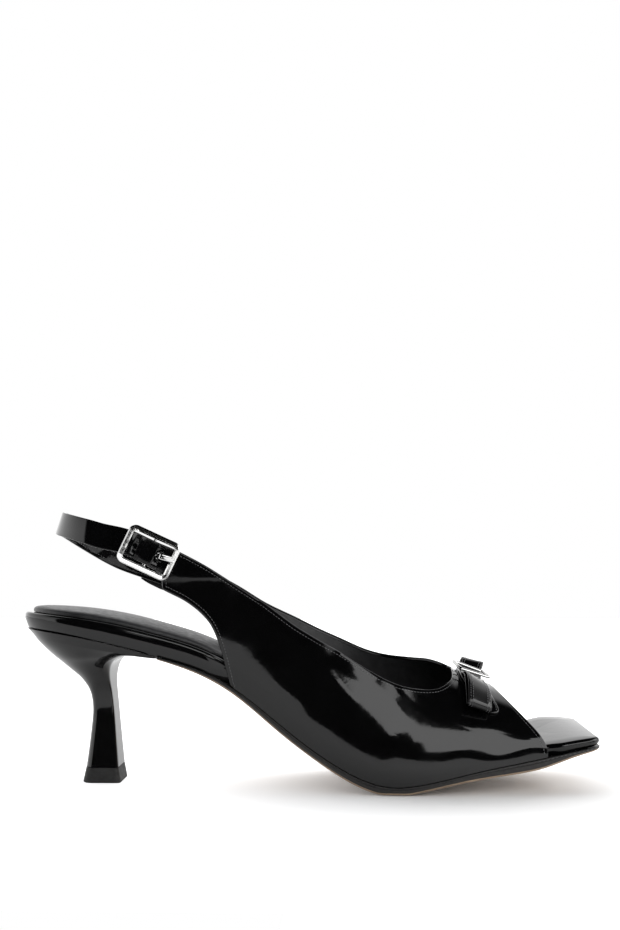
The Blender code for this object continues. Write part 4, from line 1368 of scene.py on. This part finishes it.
def build_bow_buckle_frame(chrome):
    """Small frame of round bars over the middle of the bow."""
    length, across = BOW_FRAME
    cos = math.cos(BOW_FRAME_YAW)
    sin = math.sin(BOW_FRAME_YAW)

    def place(s, w, h):
        x = BOW_X + BOW_FRAME_BACK + s * cos - w * sin
        q = BOW_MIDDLE + BOW_FRAME_NEAR + s * sin + w * cos
        return on_vamp(x, q, BOW_FRAME_LIFT + h + BOW_FRAME_RISE * (0.5 + s / length))

    rings = np.array(frame_rings(length, across - BOW_FRAME_DRAWN, BOW_FRAME_BAR, BOW_FRAME_THICK,
                                 BOW_FRAME_CORNER, place, BOW_FRAME_ARC_POINTS))
    fine = []
    for here, there in zip(rings, np.roll(rings, -1, axis=0)):
        steps = max(int(np.linalg.norm(there[0] - here[0]) / BOW_FRAME_SPACING), 1)
        fine += [here + (there - here) * k / steps for k in range(steps)]
    return loft("bow_buckle_frame_looks", fine, (chrome,), closed_path=True, sharp=28.0)


# Noise of the finishes, the part of its range that is drawn out, and how much finer patches of roughness are
GRAIN_DETAIL = 3.0
GRAIN_ROUGHNESS = 0.5
GRAIN_RANGE = (0.3, 0.7)
SHADE_RANGE = (0.32, 0.68)
ROUGH_FINER = 2.3
WHITE = (1.0, 1.0, 1.0, 1.0)


def add_node(tree, kind, constants=None, **settings):
    """New node with its settings and the constants of its inputs."""
    node = tree.nodes.new(kind)
    for name, value in settings.items():
        setattr(node, name, value)
    for socket, value in (constants or {}).items():
        node.inputs[socket].default_value = value
    return node


def join(tree, *links):
    """Links outputs to inputs."""
    for source, target in links:
        tree.links.new(source, target)


def grain(tree, where, scale):
    """Noise in object space: scale is features a metre."""
    noise = add_node(tree, "ShaderNodeTexNoise",
                     {"Scale": scale, "Detail": GRAIN_DETAIL, "Roughness": GRAIN_ROUGHNESS})
    join(tree, (where.outputs["Object"], noise.inputs["Vector"]))
    return noise.outputs["Fac"]


def spread(tree, value, low, high, start, end, interpolation="LINEAR"):
    """Value brought from one range into another."""
    node = add_node(tree, "ShaderNodeMapRange",
                    {"From Min": start, "From Max": end, "To Min": low, "To Max": high},
                    interpolation_type=interpolation)
    join(tree, (value, node.inputs["Value"]))
    return node.outputs["Result"]


def product(tree, first, second):
    """Two values multiplied."""
    node = add_node(tree, "ShaderNodeMath", operation="MULTIPLY")
    join(tree, (first, node.inputs[0]), (second, node.inputs[1]))
    return node.outputs["Value"]


def shades(tree, value, dark, light):
    """Colour between a dark and a light shade, picked by a noise value."""
    ramp = add_node(tree, "ShaderNodeValToRGB")
    for element, position, tone in zip(ramp.color_ramp.elements, SHADE_RANGE, (dark, light)):
        element.position = position
        element.color = (*tone, 1.0)
    join(tree, (value, ramp.inputs["Fac"]))
    return ramp.outputs["Color"]


def relief(tree, steps, where):
    """Chain of bumps: each step is features a metre and depth in metres."""
    normal = None
    for scale, depth in steps:
        bump = add_node(tree, "ShaderNodeBump", {"Strength": 1.0, "Distance": depth})
        join(tree, (grain(tree, where, scale), bump.inputs["Height"]))
        if normal is not None:
            join(tree, (normal, bump.inputs["Normal"]))
        normal = bump.outputs["Normal"]
    return normal


def finish(name, dark, light, tone, rough, relief_steps, rough_tone=None, **constants):
    """Grained material: tone and rough_tone are the sizes of its patches, in features a metre."""
    material = bpy.data.materials.get(name)
    if material is not None:
        return material
    material = bpy.data.materials.new(name)
    material.use_nodes = True
    tree = material.node_tree
    shader = tree.nodes["Principled BSDF"]
    where = add_node(tree, "ShaderNodeTexCoord")
    patches = grain(tree, where, rough_tone or ROUGH_FINER * tone)
    join(
        tree,
        (shades(tree, grain(tree, where, tone), dark, light), shader.inputs["Base Color"]),
        (spread(tree, patches, *rough, *GRAIN_RANGE), shader.inputs["Roughness"]),
        (relief(tree, relief_steps, where), shader.inputs["Normal"]),
    )
    for socket, value in constants.items():
        shader.inputs[socket].default_value = value
    return material


def two_shades(shade, dark, light):
    """Two shades of a colour that the user picks."""
    return tuple(dark * part for part in shade), tuple(light * part for part in shade)


def patent_finish():
    look = bpy.context.scene.slingback_finish
    rough = look.patent_roughness
    return finish("black_patent_looks", *two_shades(look.patent_color, 0.8, 1.3), 90.0,
                  (0.7 * rough, 1.5 * rough), ((300.0, 1.6e-5), (1500.0, 1.5e-6)), 150.0, IOR=1.5)


def lining_finish():
    return finish("grey_lining_looks", (0.016, 0.016, 0.017), (0.028, 0.028, 0.029), 260.0, (0.38, 0.55),
                  ((900.0, 3.0e-5), (3200.0, 1.2e-5)))


def sock_finish():
    return finish("grey_sock_looks", (0.020, 0.020, 0.0215), (0.032, 0.032, 0.034), 220.0, (0.32, 0.48),
                  ((700.0, 3.0e-5), (2600.0, 1.4e-5)))


def heel_finish():
    return finish("black_gloss_heel_looks", (0.0022, 0.0022, 0.0024), (0.004, 0.004, 0.0042), 70.0,
                  (0.05, 0.11), ((260.0, 1.2e-5), (1300.0, 1.5e-6)), 130.0, IOR=1.5)


def edge_finish():
    return finish("black_sole_edge_looks", (0.012, 0.011, 0.011), (0.022, 0.021, 0.020), 500.0, (0.28, 0.45),
                  ((800.0, 3.5e-5), (3000.0, 1.4e-5)))


def tan_finish():
    look = bpy.context.scene.slingback_finish
    return finish("tan_sole_looks", *two_shades(look.tan_color, 0.78, 1.15), 160.0, (0.42, 0.6),
                  ((600.0, 3.0e-5), (2600.0, 1.6e-5)))


def rubber_finish():
    return finish("black_rubber_looks", (0.010, 0.010, 0.010), (0.018, 0.018, 0.018), 400.0, (0.55, 0.75),
                  ((900.0, 4.0e-5), (3500.0, 2.0e-5)))


def chrome_finish():
    look = bpy.context.scene.slingback_finish
    return finish("bright_metal_looks", *two_shades(look.metal_color, 0.96, 1.0), 300.0, (0.04, 0.12),
                  ((1200.0, 2.0e-6), (5000.0, 1.0e-6)), 700.0, Metallic=1.0)


# Dark thread, made lighter than its own black so the stitches read as light dashes: its colour is in part a
# painted highlight
def thread_finish():
    return finish("dark_thread_and_painted_glint_looks", (0.05, 0.05, 0.052), (0.12, 0.12, 0.124), 1500.0, (0.3, 0.45),
                  ((6000.0, 2.0e-5),))


def line_mesh(name, lines, outwards):
    """Polylines as edges, each point with the direction that leads out of the leather."""
    points = []
    edges = []
    for line in lines:
        edges += [(len(points) + k, len(points) + k + 1) for k in range(len(line) - 1)]
        points += list(line)
    mesh = bpy.data.meshes.new(name)
    mesh.from_pydata((MM * (np.array(points) + PLACE)).tolist(), edges, [])
    outward = mesh.attributes.new("outward", "FLOAT_VECTOR", "POINT")
    outward.data.foreach_set("vector", np.concatenate(outwards).astype(np.float32).ravel())
    return mesh


def stitch_tree():
    """Node group that lays a row of stitches along every line of a mesh."""
    tree = bpy.data.node_groups.new("stitch_row", "GeometryNodeTree")
    tree.interface.new_socket("Geometry", in_out="INPUT", socket_type="NodeSocketGeometry")
    for name in ("Pitch", "Length", "Width", "Height"):
        tree.interface.new_socket(name, in_out="INPUT", socket_type="NodeSocketFloat")
    tree.interface.new_socket("Thread", in_out="INPUT", socket_type="NodeSocketMaterial")
    tree.interface.new_socket("Geometry", in_out="OUTPUT", socket_type="NodeSocketGeometry")

    add = functools.partial(add_node, tree)
    given = add("NodeGroupInput")
    result = add("NodeGroupOutput")
    curve = add("GeometryNodeMeshToCurve")
    even = add("GeometryNodeResampleCurve", mode="LENGTH")
    ball = add("GeometryNodeMeshIcoSphere", {"Radius": 0.5, "Subdivisions": 2})
    size = add("ShaderNodeCombineXYZ")
    out = add("GeometryNodeInputNamedAttribute", {"Name": "outward"}, data_type="FLOAT_VECTOR")
    along = add("GeometryNodeInputTangent")
    stand = add("FunctionNodeAlignRotationToVector", axis="Z")
    turn = add("FunctionNodeAlignRotationToVector", axis="X", pivot_axis="Z")
    place = add("GeometryNodeInstanceOnPoints")
    real = add("GeometryNodeRealizeInstances")
    smooth = add("GeometryNodeSetShadeSmooth")
    paint = add("GeometryNodeSetMaterial")
    join(
        tree,
        (given.outputs["Geometry"], curve.inputs["Mesh"]),
        (curve.outputs["Curve"], even.inputs["Curve"]),
        (given.outputs["Pitch"], even.inputs["Length"]),
        (even.outputs["Curve"], place.inputs["Points"]),
        (ball.outputs["Mesh"], place.inputs["Instance"]),
        (given.outputs["Length"], size.inputs["X"]),
        (given.outputs["Width"], size.inputs["Y"]),
        (given.outputs["Height"], size.inputs["Z"]),
        (size.outputs["Vector"], place.inputs["Scale"]),
        (out.outputs["Attribute"], stand.inputs["Vector"]),
        (stand.outputs["Rotation"], turn.inputs["Rotation"]),
        (along.outputs["Tangent"], turn.inputs["Vector"]),
        (turn.outputs["Rotation"], place.inputs["Rotation"]),
        (place.outputs["Instances"], real.inputs["Geometry"]),
        (real.outputs["Geometry"], smooth.inputs["Geometry"]),
        (smooth.outputs["Geometry"], paint.inputs["Geometry"]),
        (given.outputs["Thread"], paint.inputs["Material"]),
        (paint.outputs["Geometry"], result.inputs["Geometry"]),
    )
    return tree


def sew(name, lines, outwards, pitch, slot):
    """Row of stitches along lines given in plan millimetres."""
    thread = bpy.context.scene.slingback_thread
    tree = bpy.data.node_groups.get("stitch_row") or stitch_tree()
    path = add_object(name + "_path", line_mesh(name + "_path", lines, outwards))
    rows = path.modifiers.new("stitches", "NODES")
    rows.node_group = tree
    values = {"Pitch": pitch, "Length": thread.length, "Width": thread.width, "Height": thread.height,
              "Thread": thread_finish()}
    for item in tree.interface.items_tree:
        if item.in_out == "INPUT" and item.name in values:
            rows[item.identifier] = values[item.name]
    mesh = finished_mesh(path)
    if not mesh.polygons:
        raise RuntimeError(name + " has no stitches")
    path.modifiers.clear()
    discard(path)
    return settle(add_object(name, mesh), slot)


# How deep the stitches sit in the upper, how far they stand off the strap, and the point of a rib that the
# toe's line starts at
STITCH_SINK = 0.04
STITCH_STAND = 0.05
TOE_STITCH_FROM = 2


def rim_lines(inset):
    """Stitch lines on the upper: round the wings and the topline, and along the toe opening."""
    halves = upper_halves()
    sole_rib = halves[-1][3]
    loop = upper_loop()
    normals = {side: outward_normals(half[0], side) for side, half in halves.items()}
    outside, inside = loop_points()
    out = np.array([normals[side][i, j] for side, i, j, _ in loop])
    along = np.roll(outside, -2, axis=0) - np.roll(outside, 2, axis=0)
    away = unit(np.cross(along, outside - inside))
    away = unit(away - out * np.sum(away * out, axis=1, keepdims=True))
    line = outside - inset * away - STITCH_SINK * out
    ribs = halves[-1][0].shape[0] - 1
    toe = [k for k, (_, i, j, _) in enumerate(loop) if i == ribs and TOE_STITCH_FROM <= j]
    first = next(k for k, (side, i, j, _) in enumerate(loop) if side == 1 and j == 0 and i == sole_rib)
    wings = list(range(first, len(loop))) + list(range(0, sole_rib + 1))
    return [line[toe], line[wings]], [out[toe], out[wings]]


def strap_lines(inset):
    """Stitch lines along both edges of the strap's outer face."""
    middle, up, out, half = strap_course()
    lines = []
    for a in (-1, 1):
        lines.append(middle + a * (half - inset)[:, None] * up + (0.5 * STRAP_THICK + STITCH_STAND) * out)
    return lines, [out, out]


# Stitch lines across the bow's strips, where they run from the bow's middle and how far short of a tail's tip
LOOP_STITCHES = (-0.84, -0.64, 0.64, 0.84)
LOOP_STITCH_RUN = (8.5, 29.2)
LOOP_STITCH_RISE = 0.6
TAIL_STITCHES = (-0.76, 0.76)
TAIL_STITCH_START = 12.0
TAIL_STITCH_SHORT = 2.2


def bow_lines():
    """Double stitch lines along the edges of the bow's loops and single ones on its tails."""
    lines = []
    outs = []

    def add(path, run, shape, across, face):
        line, below = (np.array([strip_point(path, i, shape, across, sign) for i in run])
                       for sign in (face, -face))
        lines.append(line)
        outs.append(unit(line - below))

    path = band_path()
    top = [i for i, p in enumerate(path) if p[1] > BAND_LIFT + LOOP_STITCH_RISE]
    for across in LOOP_STITCHES:
        for side in (1, -1):
            run = [i for i in top if LOOP_STITCH_RUN[0] < side * path[i][0] < LOOP_STITCH_RUN[1]]
            add(path, run, BAND_SHAPE, across, -1)
    path = tail_path()
    for across in TAIL_STITCHES:
        for side in (1, -1):
            end = tail_reach(side) - TAIL_STITCH_SHORT
            run = [i for i, p in enumerate(path) if TAIL_STITCH_START < side * p[0] < end]
            add(path, run, TAIL_SHAPE, across, 1)
    return lines, outs


SOLE_STITCH_START = 205.0
SOLE_STITCH_UP = 0.84


def sole_lines():
    """Stitch line on the outsole's edge round the toe."""
    path, inward = plan_path(SOLE_START, SHOE_LENGTH, 0.0, np.zeros_like, round_back=False)
    run = path[:, 0] > SOLE_STITCH_START
    x = path[run][:, 0]
    z = sole_bottom(x) + SOLE_STITCH_UP * sole_tall(x)
    out = np.column_stack((-inward[run], np.zeros(len(x))))
    return [np.column_stack((path[run], z))], [out]


# Direction towards the middle of the white wall, behind the shoe and a little to its heel, and where the wall
# sets in at its sides, ends at its top and fades on its way up
WALL_FACING = (-0.13, 0.99, 0.0)
WALL_SIDES = (-0.46, -0.36)
WALL_TOP = (0.80, 0.62)
WALL_FADE = (0.10, 0.50)
WALL_FADED = 0.65


def build_world():
    """Studio round the shoe: white seen by the camera, a white wall behind, darkness in front and above."""
    look = bpy.context.scene.slingback_stage
    world = bpy.data.worlds.new("studio")
    bpy.context.scene.world = world
    world.use_nodes = True
    tree = world.node_tree
    tree.nodes.clear()
    where = add_node(tree, "ShaderNodeTexCoord")
    parts = add_node(tree, "ShaderNodeSeparateXYZ")
    facing = add_node(tree, "ShaderNodeVectorMath", {1: WALL_FACING}, operation="DOT_PRODUCT")
    behind = spread(tree, facing.outputs["Value"], look.dark_side, 1.0, *WALL_SIDES, "SMOOTHSTEP")
    above = spread(tree, parts.outputs["Z"], 0.0, 1.0, *WALL_TOP, "SMOOTHSTEP")
    fade = spread(tree, parts.outputs["Z"], look.wall, WALL_FADED * look.wall, *WALL_FADE)
    ray = add_node(tree, "ShaderNodeLightPath")
    seen = add_node(tree, "ShaderNodeBackground", {"Color": WHITE})
    room = add_node(tree, "ShaderNodeBackground", {"Color": WHITE})
    mix = add_node(tree, "ShaderNodeMixShader")
    result = add_node(tree, "ShaderNodeOutputWorld")
    join(
        tree,
        (where.outputs["Generated"], parts.inputs["Vector"]),
        (where.outputs["Generated"], facing.inputs[0]),
        (product(tree, product(tree, behind, above), fade), room.inputs["Strength"]),
        (ray.outputs["Is Camera Ray"], mix.inputs["Fac"]),
        (room.outputs["Background"], mix.inputs[1]),
        (seen.outputs["Background"], mix.inputs[2]),
        (mix.outputs["Shader"], result.inputs["Surface"]),
    )


# Edge of the floor: it ends just in front of the picture on the heel's side and runs on past the toe's
FLOOR = ((-1.2, -0.207), (0.0, -0.207), (-0.02, -1.6), (1.2, -1.6), (1.2, 1.5), (-1.2, 1.5))

# Painted shadow and painted light of the floor: where its own glow is least and the floor darkest, from where
# to where that glow grows, and the colour of the glow and the floor's finish
PAINTED_SHADOW_CENTRE = (0.066, -0.022, 0.0)
PAINTED_SHADOW_REACH = (0.026, 0.12)
FLOOR_FAR_GLOW = 0.7
FLOOR_LIGHT = (0.98, 0.985, 1.0, 1.0)
FLOOR_SHADES = ((0.86, 0.86, 0.86), (0.90, 0.90, 0.90))
FLOOR_ROUGHNESS = (0.55, 0.7)
FLOOR_GRAIN = 40.0
FLOOR_ROUGH_GRAIN = 25.0
FLOOR_GLOSS = 0.1


def floor_finish():
    """Pale paper floor with a painted shadow: its own glow is least near the shoe and grows towards white
    away from it.
    """
    look = bpy.context.scene.slingback_stage
    material = bpy.data.materials.new("pale_floor")
    material.use_nodes = True
    tree = material.node_tree
    shader = tree.nodes["Principled BSDF"]
    shader.inputs["Emission Color"].default_value = FLOOR_LIGHT
    shader.inputs["Specular IOR Level"].default_value = FLOOR_GLOSS
    where = add_node(tree, "ShaderNodeTexCoord")
    far = add_node(tree, "ShaderNodeVectorMath", {1: PAINTED_SHADOW_CENTRE}, operation="DISTANCE")
    ray = add_node(tree, "ShaderNodeLightPath")
    # Painted shadow and painted light: the floor glows least at the shoe and more away from it, and rays
    # other than the camera's see only a part of that glow
    seen = spread(tree, ray.outputs["Is Camera Ray"], look.floor_dim, 1.0, 0.0, 1.0)
    glow = spread(tree, far.outputs["Value"], look.floor_glow, FLOOR_FAR_GLOW, *PAINTED_SHADOW_REACH)
    rough = spread(tree, grain(tree, where, FLOOR_ROUGH_GRAIN), *FLOOR_ROUGHNESS, *GRAIN_RANGE)
    join(
        tree,
        (where.outputs["Object"], far.inputs[0]),
        (shades(tree, grain(tree, where, FLOOR_GRAIN), *FLOOR_SHADES), shader.inputs["Base Color"]),
        (rough, shader.inputs["Roughness"]),
        (product(tree, glow, seen), shader.inputs["Emission Strength"]),
    )
    return material


def panel(name, across, tall, place, facing, radiance):
    """Panel of light at a place that shines back along the direction facing, unseen by the camera."""
    lamp = bpy.data.lights.new(name, "AREA")
    lamp.shape = "RECTANGLE"
    lamp.size = across
    lamp.size_y = tall
    lamp.energy = radiance * math.pi * across * tall
    light = add_object(name, lamp)
    light.location = place
    light.rotation_euler = facing.to_track_quat("Z", "Y").to_euler()
    light.visible_camera = False
    return light


def softbox(name, azimuth, distance, left, right, low, high, radiance):
    """Upright panel square to a direction: azimuth 0 is on the camera's side and 90 beyond the toe.

    left and right are its ends across that direction and low and high its edges above the floor, in metres.
    """
    turn = math.radians(azimuth)
    aim = Vector((math.sin(turn), -math.cos(turn), 0.0))
    side = Vector((math.cos(turn), math.sin(turn), 0.0))
    place = aim * distance + side * 0.5 * (left + right) + Vector((0.0, 0.0, 0.5 * (low + high)))
    return panel(name, right - left, high - low, place, aim, radiance)


class SlingbackFinish(bpy.types.PropertyGroup):
    """Finishes of the shoe."""

    patent_color: FloatVectorProperty(
        name="Patent", description="Shade of the patent leather", subtype="COLOR", size=3, min=0.0, max=1.0,
        default=(0.0022, 0.0022, 0.0024))
    patent_roughness: FloatProperty(
        name="Patent Roughness", description="Roughness of the patent leather", subtype="FACTOR",
        min=0.0, max=1.0, default=0.06)
    tan_color: FloatVectorProperty(
        name="Underside", description="Shade of the sole's underside", subtype="COLOR", size=3,
        min=0.0, max=1.0, default=(0.33, 0.24, 0.165))
    metal_color: FloatVectorProperty(
        name="Metal", description="Shade of the buckles", subtype="COLOR", size=3, min=0.0, max=1.0,
        default=(0.83, 0.83, 0.82))


class SlingbackThread(bpy.types.PropertyGroup):
    """Sizes of the stitches."""

    pitch: FloatProperty(
        name="Pitch", description="Distance from stitch to stitch", unit="LENGTH", default=0.00125)
    sole_pitch: FloatProperty(
        name="Sole Pitch", description="Distance from stitch to stitch on the sole", unit="LENGTH",
        default=0.0018)
    length: FloatProperty(name="Length", description="Length of a stitch", unit="LENGTH", default=0.00102)
    width: FloatProperty(name="Width", description="Width of a stitch", unit="LENGTH", default=0.00032)
    height: FloatProperty(name="Height", description="Height of a stitch", unit="LENGTH", default=0.00026)
    inset: FloatProperty(
        name="Inset", description="Distance from the leather's edge to the stitches", unit="LENGTH",
        default=0.0012)


# The camera's turn, in pixels of the photograph: across the picture, and along the focal length
TURN_ACROSS = 35
FOCAL_PIXELS = 1347


class SlingbackStage(bpy.types.PropertyGroup):
    """Floor, light and camera."""

    lens: FloatProperty(name="Lens", description="Focal length", unit="CAMERA", default=52.14)
    rise: FloatProperty(
        name="Rise", description="Upward shift of the picture", subtype="FACTOR", default=0.102)
    camera: FloatVectorProperty(
        name="Camera", description="Place of the camera", subtype="TRANSLATION", unit="LENGTH", size=3,
        default=(0.0155, -0.5506, 0.090))
    turn: FloatProperty(
        name="Turn", description="Turn of the camera about the vertical", subtype="ANGLE",
        default=math.atan(TURN_ACROSS / FOCAL_PIXELS))
    key: FloatProperty(name="Key", description="Radiance of the main softbox", subtype="FACTOR", default=2.5)
    overhead: FloatProperty(
        name="Overhead", description="Radiance of the panel above the floor", subtype="FACTOR", default=1.8)
    wall: FloatProperty(
        name="Wall", description="Radiance of the wall behind", subtype="FACTOR", default=1.35)
    dark_side: FloatProperty(
        name="Dark Side", description="Radiance of the room in front", subtype="FACTOR", default=0.006)
    floor_dim: FloatProperty(
        name="Floor Dim", description="Part of the floor's own light that reaches the shoe", subtype="FACTOR",
        default=0.2)
    # Own glow of the floor at the shoe, which sets how deep its painted shadow is
    floor_glow: FloatProperty(
        name="Floor Glow", description="Own light of the floor at the shoe", subtype="FACTOR", default=0.02)


# The key light: upright panels side by side that make up one light with stepped edges
KEY_AZIMUTH = 70.0
KEY_DISTANCE = 1.2
KEY = (
    ("name", "left", "right", "low", "high"),
    ("key_back", -3.40, -2.85, 0.84, 2.00),
    ("key_left", -2.85, -2.12, 0.92, 2.00),
    ("key_step", -2.12, -1.88, 0.60, 2.00),
    ("key_middle", -1.88, -1.60, 0.29, 2.00),
    ("key_top", -1.60, -1.20, 1.27, 1.75),
    ("key_right", -1.60, -0.81, 0.31, 1.12),
    ("key_toe", -0.81, 0.70, 0.31, 1.26),
)

# Small card low beside the camera, in a softbox's terms, and its radiance as a part of the key's
CARD = (-17.7, 0.236, -0.014, 0.014, 0.062, 0.078)
CARD_PART = 0.3

# Panel above and behind the shoe, which lights the floor and casts the shadow
OVERHEAD_SIZE = 1.6
OVERHEAD_PLACE = Vector((0.05, 0.75, 1.15))
SENSOR_WIDTH = 36.0


class SLINGBACK_OT_stage(bpy.types.Operator):
    """Lay the floor, light the studio and place the camera"""

    bl_idname = "slingback.stage"
    bl_label = "Stage"

    def execute(self, context):
        look = context.scene.slingback_stage
        mesh = bpy.data.meshes.new("floor")
        mesh.from_pydata([(x, y, 0.0) for x, y in FLOOR], [], [tuple(range(len(FLOOR)))])
        mesh.materials.append(floor_finish())
        floor = add_object("floor", mesh)
        build_world()
        for name, *edges in KEY[1:]:
            softbox(name, KEY_AZIMUTH, KEY_DISTANCE, *edges, look.key)
        softbox("card", *CARD, CARD_PART * look.key)
        overhead = panel("overhead", OVERHEAD_SIZE, OVERHEAD_SIZE, OVERHEAD_PLACE, OVERHEAD_PLACE,
                         look.overhead)
        overhead.visible_glossy = False
        lens = bpy.data.cameras.new("camera")
        lens.sensor_width = SENSOR_WIDTH
        lens.lens = look.lens
        lens.shift_y = look.rise
        camera = add_object("camera", lens)
        camera.location = look.camera
        camera.rotation_euler = (0.5 * math.pi, 0.0, look.turn)
        context.scene.camera = camera
        context.scene.view_settings.view_transform = "Standard"
        return {"FINISHED"}


class SLINGBACK_OT_sole(bpy.types.Operator):
    """Make the outsole with its grooved edge and tan underside"""

    bl_idname = "slingback.sole"
    bl_label = "Sole"

    def execute(self, context):
        settle(build_outsole(edge_finish(), tan_finish()), "black_sole_edge", "outsole")
        return {"FINISHED"}


class SLINGBACK_OT_footbed(bpy.types.Operator):
    """Make the wrapped footbed and the padded sock on it"""

    bl_idname = "slingback.footbed"
    bl_label = "Footbed"

    def execute(self, context):
        settle(build_insole(patent_finish()), "black_patent", "insole")
        settle(build_sock(sock_finish()), "grey_sock", "sock")
        return {"FINISHED"}


class SLINGBACK_OT_heel(bpy.types.Operator):
    """Make the heel and its top lift"""

    bl_idname = "slingback.heel"
    bl_label = "Heel"

    def execute(self, context):
        settle(build_heel(heel_finish()), "black_gloss_heel", "heel")
        settle(build_top_lift(rubber_finish()), "black_rubber", "heel_top_lift")
        return {"FINISHED"}


# How deep the slot for the pin and the prong is cut, between two lifts off the wing
TONGUE_CUT = (-3.5, 1.5)


class SLINGBACK_OT_upper(bpy.types.Operator):
    """Make the vamp and wings, with their creases"""

    bl_idname = "slingback.upper"
    bl_label = "Upper"

    def execute(self, context):
        upper = build_upper(patent_finish(), lining_finish())
        cut_with(upper, slot_rings(*TONGUE_SLOT, SLOT_WIDTH, *TONGUE_CUT))
        settle(upper, "black_patent", "upper")
        return {"FINISHED"}


class SLINGBACK_OT_strap(bpy.types.Operator):
    """Make the strap round the back of the heel"""

    bl_idname = "slingback.strap"
    bl_label = "Strap"

    def execute(self, context):
        settle(build_strap(patent_finish()), "black_patent", "sling_strap")
        return {"FINISHED"}


class SLINGBACK_OT_buckle(bpy.types.Operator):
    """Make the strap's buckle: frame, pin and prong"""

    bl_idname = "slingback.buckle"
    bl_label = "Buckle"

    def execute(self, context):
        settle(build_buckle_frame(chrome_finish()), "bright_metal", "sling_buckle_frame")
        settle(build_buckle_pin(chrome_finish()), "bright_metal", "sling_buckle_pin")
        settle(build_buckle_prong(chrome_finish()), "bright_metal", "sling_buckle_prong")
        return {"FINISHED"}


class SLINGBACK_OT_bow(bpy.types.Operator):
    """Make the bow: tails, folded band and small frame"""

    bl_idname = "slingback.bow"
    bl_label = "Bow"

    def execute(self, context):
        settle(build_bow_tails(patent_finish()), "black_patent", "bow_tails")
        settle(build_bow_band(patent_finish()), "black_patent", "bow_band")
        settle(build_bow_buckle_frame(chrome_finish()), "bright_metal", "bow_buckle_frame")
        return {"FINISHED"}


STRAP_STITCH_IN = 0.3


class SLINGBACK_OT_stitches(bpy.types.Operator):
    """Sew the seams of the upper, strap, bow and sole"""

    bl_idname = "slingback.stitches"
    bl_label = "Stitches"

    def execute(self, context):
        thread = context.scene.slingback_thread
        inset = thread.inset / MM
        sew("upper_stitches", *rim_lines(inset), thread.pitch, "black_patent")
        sew("strap_stitches", *strap_lines(inset + STRAP_STITCH_IN), thread.pitch, "black_patent")
        sew("bow_stitches", *bow_lines(), thread.pitch, "black_patent")
        sew("sole_stitches", *sole_lines(), thread.sole_pitch, "black_sole_edge")
        return {"FINISHED"}


STEPS = (
    SLINGBACK_OT_stage,
    SLINGBACK_OT_sole,
    SLINGBACK_OT_footbed,
    SLINGBACK_OT_heel,
    SLINGBACK_OT_upper,
    SLINGBACK_OT_strap,
    SLINGBACK_OT_buckle,
    SLINGBACK_OT_bow,
    SLINGBACK_OT_stitches,
)


class SLINGBACK_PT_panel(bpy.types.Panel):
    """Sidebar panel with every step of the shoe"""

    bl_idname = "SLINGBACK_PT_panel"
    bl_label = "Slingback Shoe"
    bl_space_type = "VIEW_3D"
    bl_region_type = "UI"
    bl_category = "Slingback"

    def draw(self, context):
        layout = self.layout
        scene = context.scene
        for step in STEPS:
            layout.operator(step.bl_idname)
        for group in (scene.slingback_finish, scene.slingback_thread, scene.slingback_stage):
            box = layout.box()
            for name in group.__annotations__:
                box.prop(group, name)


GROUPS = (SlingbackFinish, SlingbackThread, SlingbackStage)
CLASSES = GROUPS + STEPS + (SLINGBACK_PT_panel,)


def register():
    for cls in CLASSES:
        bpy.utils.register_class(cls)
    bpy.types.Scene.slingback_finish = PointerProperty(type=SlingbackFinish)
    bpy.types.Scene.slingback_thread = PointerProperty(type=SlingbackThread)
    bpy.types.Scene.slingback_stage = PointerProperty(type=SlingbackStage)


def unregister():
    del bpy.types.Scene.slingback_stage
    del bpy.types.Scene.slingback_thread
    del bpy.types.Scene.slingback_finish
    for cls in reversed(CLASSES):
        bpy.utils.unregister_class(cls)


def main():
    register()
    bpy.ops.slingback.stage()
    bpy.ops.slingback.sole()
    bpy.ops.slingback.footbed()
    bpy.ops.slingback.heel()
    bpy.ops.slingback.upper()
    bpy.ops.slingback.strap()
    bpy.ops.slingback.buckle()
    bpy.ops.slingback.bow()
    bpy.ops.slingback.stitches()


if __name__ == "__main__":
    main()
